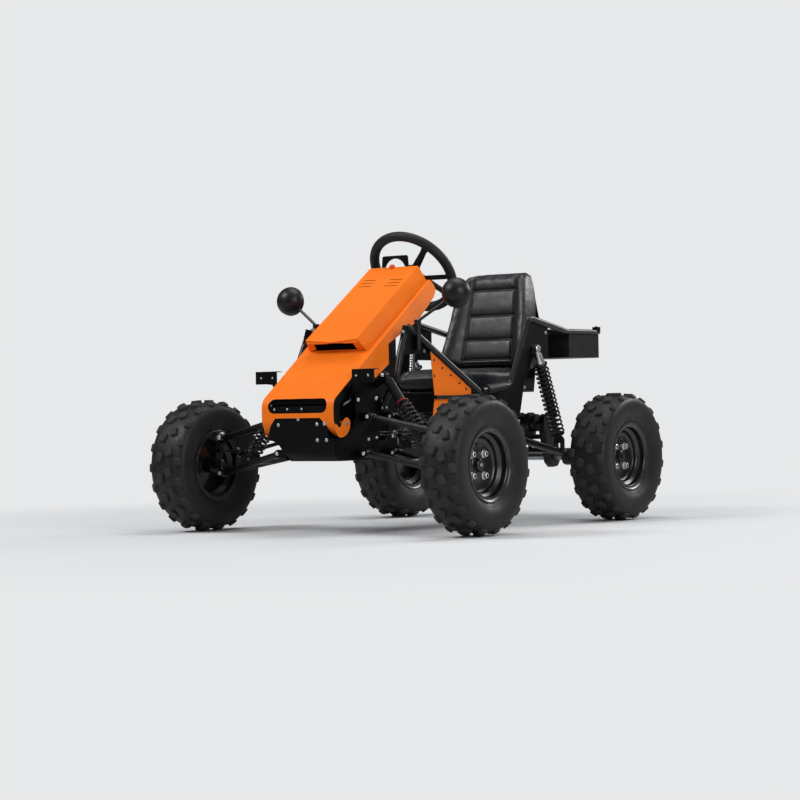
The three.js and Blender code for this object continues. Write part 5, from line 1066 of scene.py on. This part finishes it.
def base_form():
    rings = []
    length = BASE["rear"] - BASE["front"] - 2 * INSET
    for share in [i / FORM_STEPS for i in range(FORM_STEPS + 1)]:
        nose, tail = quarter(share / 0.16), quarter((1 - share) / 0.06)
        half = blend_to(BASE["half_front"], BASE["half_rear"], min(1, share * 2.5)) - INSET - 14 * (1 - nose)
        thick = (BASE["height"] - INSET) * (0.3 + 0.7 * nose) * (0.75 + 0.25 * tail)
        bottom = BASE["bottom"] + BASE["height"] * 0.3 * (1 - nose)
        y = BASE["front"] + INSET + share * length
        rings.append([at(u, y, bottom + high) for u, high in cushion_section(half, thick, 5)])
    return skin(Shape(), rings, VINYL)


def swollen(shape, name):
    """Voxel mesh of a form, blown up a little as padded fabric"""
    obj = shape.build(name)
    voxels = obj.modifiers.new("voxels", "REMESH")
    voxels.mode = "VOXEL"
    voxels.voxel_size = 6 * MM
    apply_all(obj)
    rest = [v.co.copy() for v in obj.data.vertices]
    cloth = obj.modifiers.new("cloth", "CLOTH")
    settings = cloth.settings
    settings.quality = 5
    settings.mass = 0.3
    settings.use_pressure = True
    settings.uniform_pressure_force = 4
    settings.tension_stiffness = 18
    settings.compression_stiffness = 18
    settings.shear_stiffness = 8
    settings.bending_stiffness = 0.6
    settings.effector_weights.gravity = 0
    cloth.collision_settings.use_collision = False
    cloth.point_cache.frame_start = 1
    cloth.point_cache.frame_end = CLOTH_STEPS
    for number in range(1, CLOTH_STEPS + 1):
        scene.frame_set(number)
        bpy.context.view_layer.update()
    graph = bpy.context.evaluated_depsgraph_get()
    grown = [v.co.copy() for v in obj.evaluated_get(graph).data.vertices]
    obj.modifiers.clear()
    scene.frame_set(1)
    for vertex, start, end in zip(obj.data.vertices, rest, grown):
        move = end - start
        if move.length > CLOTH_LIMIT:
            move = move.normalized() * CLOTH_LIMIT
        vertex.co = start + move
    smooth = obj.modifiers.new("smooth", "SUBSURF")
    smooth.levels = 1
    smooth.render_levels = 1
    apply_all(obj)
    return obj


def groove(distance, width):
    """1 on the line of a sewn channel, falling to 0 beside it"""
    return exp(-(distance / width) ** 2)


def bolster(x, panel, outer):
    """1 midway between the panel's seam and the outer edge, falling to 0 at both"""
    return max(0, 1 - abs((x - (panel + outer) / 2) / ((outer - panel) / 2)) ** 2.4) if outer > panel else 0


def back_cushion():
    obj = swollen(back_form(), "seat_back_dressed")
    height = BACK["height"]
    for vertex in obj.data.vertices:
        local = vertex.co / MM - at(0, MIDDLE_Y, 0) - BACK_FOOT
        share = local.dot(BACK_UP) / height
        deep = local.dot(BACK_OUT)
        thick = back_thick(share)
        if deep < thick * 0.45:
            continue
        panel = blend_to(BACK["panel_foot"], BACK["panel_top"], share)
        outer = back_half(share)
        face = held((deep - thick * 0.45) / (thick * 0.3))
        x = abs(local.x)
        outside = (x - panel) / (outer - panel)
        inside = 1 / (1 + exp((x - panel) / 2.5))
        foot = max([line for line in BACK_CHANNELS if line <= share] or [0])
        top = min([line for line in BACK_CHANNELS if line > share] or [1])
        span = (top - foot) * height
        puff = 1 - abs(2 * (share - foot) * height / span - 1.12) ** 3.2 if span > 1 else 0
        move = inside * 4.5 * max(0, puff)
        for line in BACK_CHANNELS:
            away = (share - line) * height
            move -= inside * BACK["channel"] * groove(away, 6 if away < 0 else 3.6)
        move -= 7 * groove(x - panel, 4.2) * (1 if 0.03 < share < 0.985 else 0.3)
        if x > panel:
            move += BACK["bolster"] * 0.75 * bolster(x, panel, outer) * (1 - max(0, share - 0.9) * 6)
        low = max(0, 1 - max(0, share) / 0.75) ** 1.3
        forward = BACK["wing"] * low + BACK["bucket"] * held((1 - share) / 0.3) ** 0.7
        move += forward * held(outside) * min(1, (share + 0.12) / 0.16)
        vertex.co += BACK_OUT * move * face * MM
        if x > panel:
            vertex.co.x += copysign(BACK["flare"] * low * outside, local.x) * MM
    finish_cushion(obj, "seat_back_cushion")


def base_cushion():
    obj = swollen(base_form(), "seat_base_dressed")
    length = BASE["rear"] - BASE["front"]
    panel = BASE["panel"]
    for vertex in obj.data.vertices:
        point = vertex.co / MM - at(0, MIDDLE_Y, 0)
        share = (point.y - BASE["front"]) / length
        face = min(1, (point.z - BASE["bottom"] - 50) / 20)
        if face < 0:
            continue
        x = abs(point.x)
        inside = 1 / (1 + exp((x - panel) / 3))
        move = -5 * groove(x - panel, 4.5)
        for line in BASE_CHANNELS:
            move -= inside * BASE["channel"] * groove((share - line) * length, 4.6)
        move += BASE["bolster"] * 0.6 * bolster(x, panel, BASE["outer"])
        move += BASE["rise"] * max(0, (share - 0.55) / 0.45) ** 2 * (1 - max(0, share - 0.93) / 0.07)
        vertex.co.z += move * face * MM
    finish_cushion(obj, "seat_base_cushion")


def finish_cushion(obj, node):
    painted(obj, VINYL)
    shade_smooth(obj.data)
    fit(obj, "chassis", [node])


# Fittings of the front box and the side panels

BOX_SIDE = 170.6
PANEL_FRONT = at(253, -306, 0)
PANEL_REAR = at(283, -70, 0)
PANEL_TURN = (PANEL_REAR.x - PANEL_FRONT.x) / (PANEL_REAR.y - PANEL_FRONT.y)


def panel_x(y):
    """Outer face of the left side panel"""
    return PANEL_FRONT.x + (y - PANEL_FRONT.y) * PANEL_TURN + SHEET


def front_fittings():
    """Bolt heads on the nose plate, behind the nose slot, on the lamp brackets and on the pivots"""
    shape = Shape()
    face = NOSE_Y + SHEET + GAP * 2
    for x, z in ((-95, 427), (2, 449), (93, 429), (129, 430), (94, 368), (138, 368)):
        dome(shape, at(x, face, z), -Y, 7.5, 4.5, ZINC)
    for x in (-114, -50, 20):
        dome(shape, at(x, face, 487), -Y, 5, 3.5, ZINC)
    ends = [(pivot, PIVOT_HALF) for pivot in LOWER_PIVOTS + UPPER_PIVOTS] + [(SHOCK["top"], EYE_HALF)]
    for side in (-1, 1):
        for place, half in ends:
            for end in (-1, 1):
                dome(shape, at(side * place.x, place.y + end * (half + PLATE + GAP), place.z), Y * end)
        for x in (205, 262):
            dome(shape, at(side * x, -730, 611), -Y, 5, 3.5, ZINC)
        for y, z, radius in ((-674, 519, 8), (-558, 524, 9), (-612, 366, 7), (-560, 372, 6)):
            dome(shape, at(side * BOX_SIDE, y, z), X * side, radius, radius * 0.7)
        rod(shape, at(side * 154, -748, 500), at(side * 154, -702, 519), 4, ZINC, 14)
    shape.build("front_bolts", "chassis", slot="bright_steel", sharp=30)


def side_fittings():
    """Rivets along the edge of the side panels"""
    shape = Shape()
    for side in (-1, 1):
        for y, z in ((-286, 672), (-286, 610), (-240, 640), (-240, 470), (-190, 612), (-140, 580),
                     (-100, 556),
                     (-286, 440), (-190, 440), (-100, 440)):
            button(shape, at(side * (panel_x(y) - 0.6), y, z), at(side, -PANEL_TURN, 0), 5, 3, BLACK)
    shape.build("side_panel_rivets", "chassis", slot="black_plastic", sharp=30)


MIRROR_BASE = at(252, -385, 804)
MIRROR_HEAD = at(412, -343, 930)
MIRROR_R = 59.5
MIRROR_DOME = 60
MIRROR_BACK = 20


def mirror():
    base, head, radius, back = MIRROR_BASE, MIRROR_HEAD, MIRROR_R, MIRROR_BACK
    foot = at(base.x, base.y, base.z + GAP)
    tall = 26 - GAP
    shape = lathe(Shape(), [(0, 6.4), (0, 13), (1.5, 14), (tall - 1.5, 14), (tall, 12.5), (tall, 6.4)], foot,
                  Z,
                  BLACK, closed=True)
    lathe(shape, stub(0, 5, 8, 1, 1), foot + Z * (tall - 2), Z, ZINC, 6)
    tube(shape, [foot + Z * (tall - 6), head.lerp(base, 0.03)], 6)
    shell = [(-back, 0), (-back, radius - 10), (-back + 2, radius - 7), (-back / 2, radius - 2), (0, radius),
             *cap(0, MIRROR_DOME, radius, 16)]
    lathe(shape, shell, head, -Y, PLASTIC, 56)
    glass = [(-back - 1, 0), (-back - 1, radius - 13), (-back + 0.4, radius - 12), (-back + 0.4, 0)]
    lathe(shape, glass, head, -Y, CHROME, 56)
    both_sides(shape, "mirror", "black_plastic", sharp=35)


# Side frames

SIDE = {"foot": at(180, -524, 500), "knee": at(250, -528, 606), "neck": at(245, -500, 690),
        "top": at(240, -462, 768), "tube": at(237, -430, 803), "end": at(295, -14, 539)}
TUBE_R = 13
GUSSET = [(0, 0), (0.32, -0.06), (1, 0.02), (0.98, 0.14), (0.42, 0.92), (0.12, 1), (0.04, 0.6)]
GUSSET_X = 242.5
REAR_STOP = -14.2
HOOP_X = 300
HOOP = [at(HOOP_X, y, z) for y, z in ((-13.85, 550), (192, 571), (341, 852), (617, 802))]
GRIP_ENDS = (20, 152)
SIDE_PLATE_SHARES = [(0.47, 0.46), (1, 1), (1.53, 0.954), (1.53, 0.69), (1.12, 0.69), (0.855, 0.48),
                     (0.74, 0.26),
                     (0.5, 0), (0.14, 0), (0, 0.134), (0.14, 0.4)]
SWING_PIVOT = at(320, 130, 368)
LEVER_FOOT = at(-250, 250, 545)
LEVER_RIBS = 9


def side_frame():
    foot = SIDE["foot"]
    shape = Shape()
    tube(shape, [foot, SIDE["knee"], SIDE["neck"], SIDE["top"]], TUBE_R, bend=30)
    block(shape, 170.3, 184, foot.y - 21, foot.y + 21, foot.z - 21, foot.z + 21)
    for dy in (-14, 14):
        for dz in (-14, 14):
            bolt(shape, at(184, foot.y + dy, foot.z + dz), X, 4.5, 3.5)
    way = (SIDE["end"] - SIDE["tube"]).normalized()
    tube(shape, [SIDE["tube"], SIDE["tube"] + way * ((REAR_STOP - SIDE["tube"].y) / way.y)], TUBE_R)
    side_plate(shape, [(-492 + 207 * back, 700 + 108 * up) for back, up in GUSSET], GUSSET_X - PLATE,
               GUSSET_X)
    base = MIRROR_BASE
    rod(shape, at(base.x, base.y, 713), base, 12, BLACK)
    rod(shape, base - Z * 3, base + Z * 20, 6, ZINC)
    for y, z in ((-470, 722), (-470, 780), (-330, 708)):
        bolt(shape, at(GUSSET_X, y, z), X, 6, 4.5)
    front, rear = panel_x(-290) + 0.6, panel_x(-14) + 0.6
    flat_plate(shape, [(front, -290), (front + 12, -290), (rear + 12, REAR_STOP), (rear, REAR_STOP)], 518,
               14)
    return shape


def rear_side_frame():
    shape = Shape()
    tube(shape, HOOP, TUBE_R, bend=26)
    start, hip = HOOP[:2]
    low, high = [start.lerp(hip, (y - start.y) / (hip.y - start.y)) for y in GRIP_ENDS]
    bush(shape, 0, (high - low).length, 13.2, 19, 2, 2, low, high - low, FOAM, 32)
    side_plate(shape, [(60 + 281 * back, 330 + 522 * up) for back, up in SIDE_PLATE_SHARES], 297, 302)
    for spot, radius, half, material in ((REAR_SHOCK["top"], BOLT_R, 12, CHROME),
                                         (SWING_PIVOT, 12, 15, ZINC)):
        start = at(297.3, spot.y, spot.z)
        rod(shape, start, spot + X * (half + 7), radius, ZINC)
        rod(shape, start, spot - X * (half + GAP), radius + 4, BLACK)
        bolt(shape, spot + X * (half + 0.6), X, radius + 3.5, 7, material)
    for y, z in ((300, 560), (250, 420), (470, 790)):
        bolt(shape, at(302, y, z), X, 6.5, 4.5)
    return shape


def lever_pin(shape):
    foot, end = LEVER_FOOT - X * 50, LEVER_FOOT + X * 15.3
    rod(shape, foot, end, BOLT_R, ZINC)
    rod(shape, foot, LEVER_FOOT - X * 15.3, 10, ZINC)
    bolt(shape, end, X, 9, 6.5)


def hand_lever():
    shape = Shape()
    foot, grip, top = LEVER_FOOT, at(-250, 267.7, 642), at(-250, 278, 745)
    bush(shape, -15, 15, 6.5, 14, 1.5, 1.5, foot, X, BLACK)
    tube(shape, [foot + (grip - foot).normalized() * 10, grip.lerp(top, 0.1)], 8, ZINC)
    span = (top - grip).length
    rib = span / LEVER_RIBS
    profile = [(0, 0), (0, 11)]
    for i in range(LEVER_RIBS):
        low = rib * i
        profile += [(low + 2, 10.4), (low + rib * 0.5, 13), (low + rib - 1, 10.6)]
    profile += [(span - 2, 9), (span, 6), (span, 0)]
    lathe(shape, profile, grip, top - grip, ZINC)
    shape.build("hand_lever_dressed", "hand_lever", ["hand_lever"], "grip_foam", sharp=50)


def side_structure():
    both_sides(side_frame(), "side_frame", "black_steel", "chassis", bevel=SOFT_EDGE)
    left = rear_side_frame()
    right = left.mirrored()
    lever_pin(right)
    for side, form in (("left", left), ("right", right)):
        form.build(f"rear_side_frame_dressed_{side}", "chassis", [f"rear_side_frame_{side}"], "black_steel",
                   bevel=SOFT_EDGE)
    hand_lever()


# Rear rack, dash bracket and the rest

TRAY = {"front": 660, "rear": 905, "half": 300, "bottom": 688, "top": 792}
RAIL_Z = 800
RAIL_R = 10
NOSE_CORNER = [(-190, 372), (-124, 366), (-98, 353), (-83, 336), (-77, 318), (-62, 309), (-62, 270),
               (-190, 270)]
DASH_Y = on_slope(0, -HOOD_BACK, -SHEET).y + GAP + 4
ARCH_R = 52
ARCH_Z = 1039
ARCH_LOW = 1017


def rear_rack():
    half, front, rear, bottom = TRAY["half"], TRAY["front"], TRAY["rear"], TRAY["bottom"]
    tray = block(Shape(), -half, half, front, rear, bottom, TRAY["top"], RACK_GREY).build("rear_rack_tray")
    carved(tray,
           plain(block(Shape(), -half + SHEET, half - SHEET, front + SHEET, rear - SHEET, bottom + SHEET,
                             TRAY["top"] + 4)))
    painted(tray, RACK_GREY)
    finish_surface(tray, 0.9, 40)
    fit(tray, "chassis", ["rear_rack"])
    rails = Shape()
    for side in (-1, 1):
        tube(rails, [at(side * half, 617.3, RAIL_Z), at(side * half, rear, RAIL_Z)], RAIL_R)
        block(rails, side * 284, side * 310, rear - 26, rear, RAIL_Z, 822)
        bolt(rails, at(side * 297, rear - 13, 822), Z, 6, 4, washer=False)
    tube(rails, [at(-half, 628, RAIL_Z), at(half, 628, RAIL_Z)], RAIL_R)
    rails.build("rear_rack_rails", "chassis", slot="black_steel", bevel=SOFT_EDGE)


def carried_over():
    """Nodes whose own shape is right, with softened edges.

    On the kart's right, the low corner of the nose is cut away and the dash crossbar ends at the hood.
    """
    corner = plain(face_plate(Shape(), NOSE_CORNER, -706, -850))
    crossbar_end = plain(block(Shape(), -300, -HOOD_HALF, DASH_Y - 30, DASH_Y + 30, 980, 1030))
    arch = [*arc(0, ARCH_Z, ARCH_R, 0, 180, 24), (-ARCH_R, ARCH_LOW), (ARCH_R, ARCH_LOW)]
    opening = plain(face_plate(Shape(), arch, DASH_Y - 30, DASH_Y + 30))
    for side in ("left", "right"):
        dressed(f"side_panel_{side}", ORANGE, 20)
        dressed(f"pedal_{side}", ZINC, 62)
    dressed("hood_box", ORANGE, 24)
    dressed("front_chassis_box", PLATE_BLACK, 48, cutters=[corner])
    dressed("dash_bracket", PLATE_BLACK, 40, cutters=[crossbar_end, opening])
    dressed("rack_housing", BLACK, 40)
    dressed("rack_bar", CHROME, 48, 0.4)
    dressed("lower_steering_shaft", ZINC, 48, 0.4)
    dressed("floor_frame", BLACK, 48)
    dressed("swing_frame", BLACK, 62)
    dressed("rear_axle", ZINC, 48)
    dressed("drive_motor", ALLOY, 48)
    dressed("seat_shell", PLASTIC, 30)
    dressed("battery_box", PLATE_BLACK, 30, 2)


# Camera, light and floor

CAMERA = {"azimuth": 35.91, "elevation": -0.21, "roll": -1.05, "distance": 9664.5,
          "target": at(-119.04, 0, 518.19),
          "lens": 104.85, "sensor": 36}
BACKGROUND = (0.80, 0.81, 0.82, 1)
AMBIENT = (0.86, 0.9, 0.95, 1)
FADE_START = 1.0
FADE_END = 3.6
FLOOR_HALF = 60
# Lights: place, height aimed at, width and depth, power
LIGHTS = {
    "key_light": ((-2.6, -3.6, 4.6), 0.4, (2.6, 2.0), 205),
    "fill_light": ((4.6, -2.2, 2.4), 0.5, (2.6, 2.6), 104),
    "top_light": ((0.2, 0.4, 4.4), 0.4, (3.2, 2.2), 84),
    "rim_light": ((2.2, 4.2, 3.0), 0.6, (3.0, 1.4), 130),
}


def camera():
    azimuth, elevation, roll = [radians(CAMERA[angle]) for angle in ("azimuth", "elevation", "roll")]
    back = at(sin(azimuth) * cos(elevation), -cos(azimuth) * cos(elevation), sin(elevation))
    right = Z.cross(back).normalized()
    up = back.cross(right)
    side = right * cos(roll) + up * sin(roll)
    top = up * cos(roll) - right * sin(roll)
    data = bpy.data.cameras.new("camera")
    data.lens = CAMERA["lens"]
    data.sensor_width = CAMERA["sensor"]
    data.clip_end = 200
    obj = new_object("camera", data)
    spot = in_metres(CAMERA["target"] + back * CAMERA["distance"])
    obj.matrix_world = Matrix.Translation(spot) @ Matrix((side, top, back)).transposed().to_4x4()
    scene.camera = obj


def area_light(name, spot, height, size, power):
    data = bpy.data.lights.new(name, "AREA")
    data.shape = "RECTANGLE"
    data.size, data.size_y = size
    data.energy = power
    obj = new_object(name, data)
    obj.location = spot
    obj.rotation_euler = (Vector(spot) - at(0, 0, height)).to_track_quat("Z", "Y").to_euler()


def floor_paint():
    """Pale floor that takes on the colour of the background far from the kart, for the camera alone"""
    mat = new_material("floor_paint", (0.66, 0.67, 0.68), (0.7, 0.85), 0.015, 40, 0.02, specular=0.1)
    tree = mat.node_tree
    place = add_node(tree, "TexCoord", {}).outputs["Object"]
    far = add_node(tree, "VectorMath", {0: place}, "LENGTH").outputs["Value"]
    fade = add_node(tree, "MapRange", {"From Min": FADE_START, "From Max": FADE_END, "Value": far})
    fade.interpolation_type = "SMOOTHSTEP"
    seen = add_node(tree, "LightPath", {}).outputs["Is Camera Ray"]
    share = add_node(tree, "Math", {0: fade.outputs["Result"], 1: seen}, "MULTIPLY").outputs[0]
    glow = add_node(tree, "Emission", {"Color": BACKGROUND, "Strength": 1}).outputs[0]
    paint = tree.nodes["Principled BSDF"].outputs[0]
    mix = add_node(tree, "MixShader", {"Fac": share, 1: paint, 2: glow})
    fill(tree, tree.nodes["Material Output"], {"Surface": mix.outputs[0]})
    return mat


def stage():
    world = bpy.data.worlds.new("studio")
    world.use_nodes = True
    scene.world = world
    tree = world.node_tree
    ambient = tree.nodes["Background"]
    fill(tree, ambient, {"Color": AMBIENT, "Strength": 0.17})
    seen = add_node(tree, "Background", {"Color": BACKGROUND, "Strength": 1}).outputs[0]
    view = add_node(tree, "LightPath", {}).outputs["Is Camera Ray"]
    mix = add_node(tree, "MixShader", {"Fac": view, 1: ambient.outputs[0], 2: seen})
    fill(tree, tree.nodes["World Output"], {"Surface": mix.outputs[0]})
    mesh = bpy.data.meshes.new("floor")
    half = FLOOR_HALF
    mesh.from_pydata([(-half, -half, 0), (half, -half, 0), (half, half, 0), (-half, half, 0)], [],
                     [(0, 1, 2, 3)])
    mesh.materials.append(floor_paint())
    floor = new_object("floor", mesh)
    for name, light in LIGHTS.items():
        area_light(name, *light)
    scene.view_settings.view_transform = "Standard"


wheels()
suspension()
steering_wheel()
hood()
hood_liners()
knob()
back_cushion()
base_cushion()
front_fittings()
side_fittings()
mirror()
side_structure()
rear_rack()
carried_over()
camera()
stage()
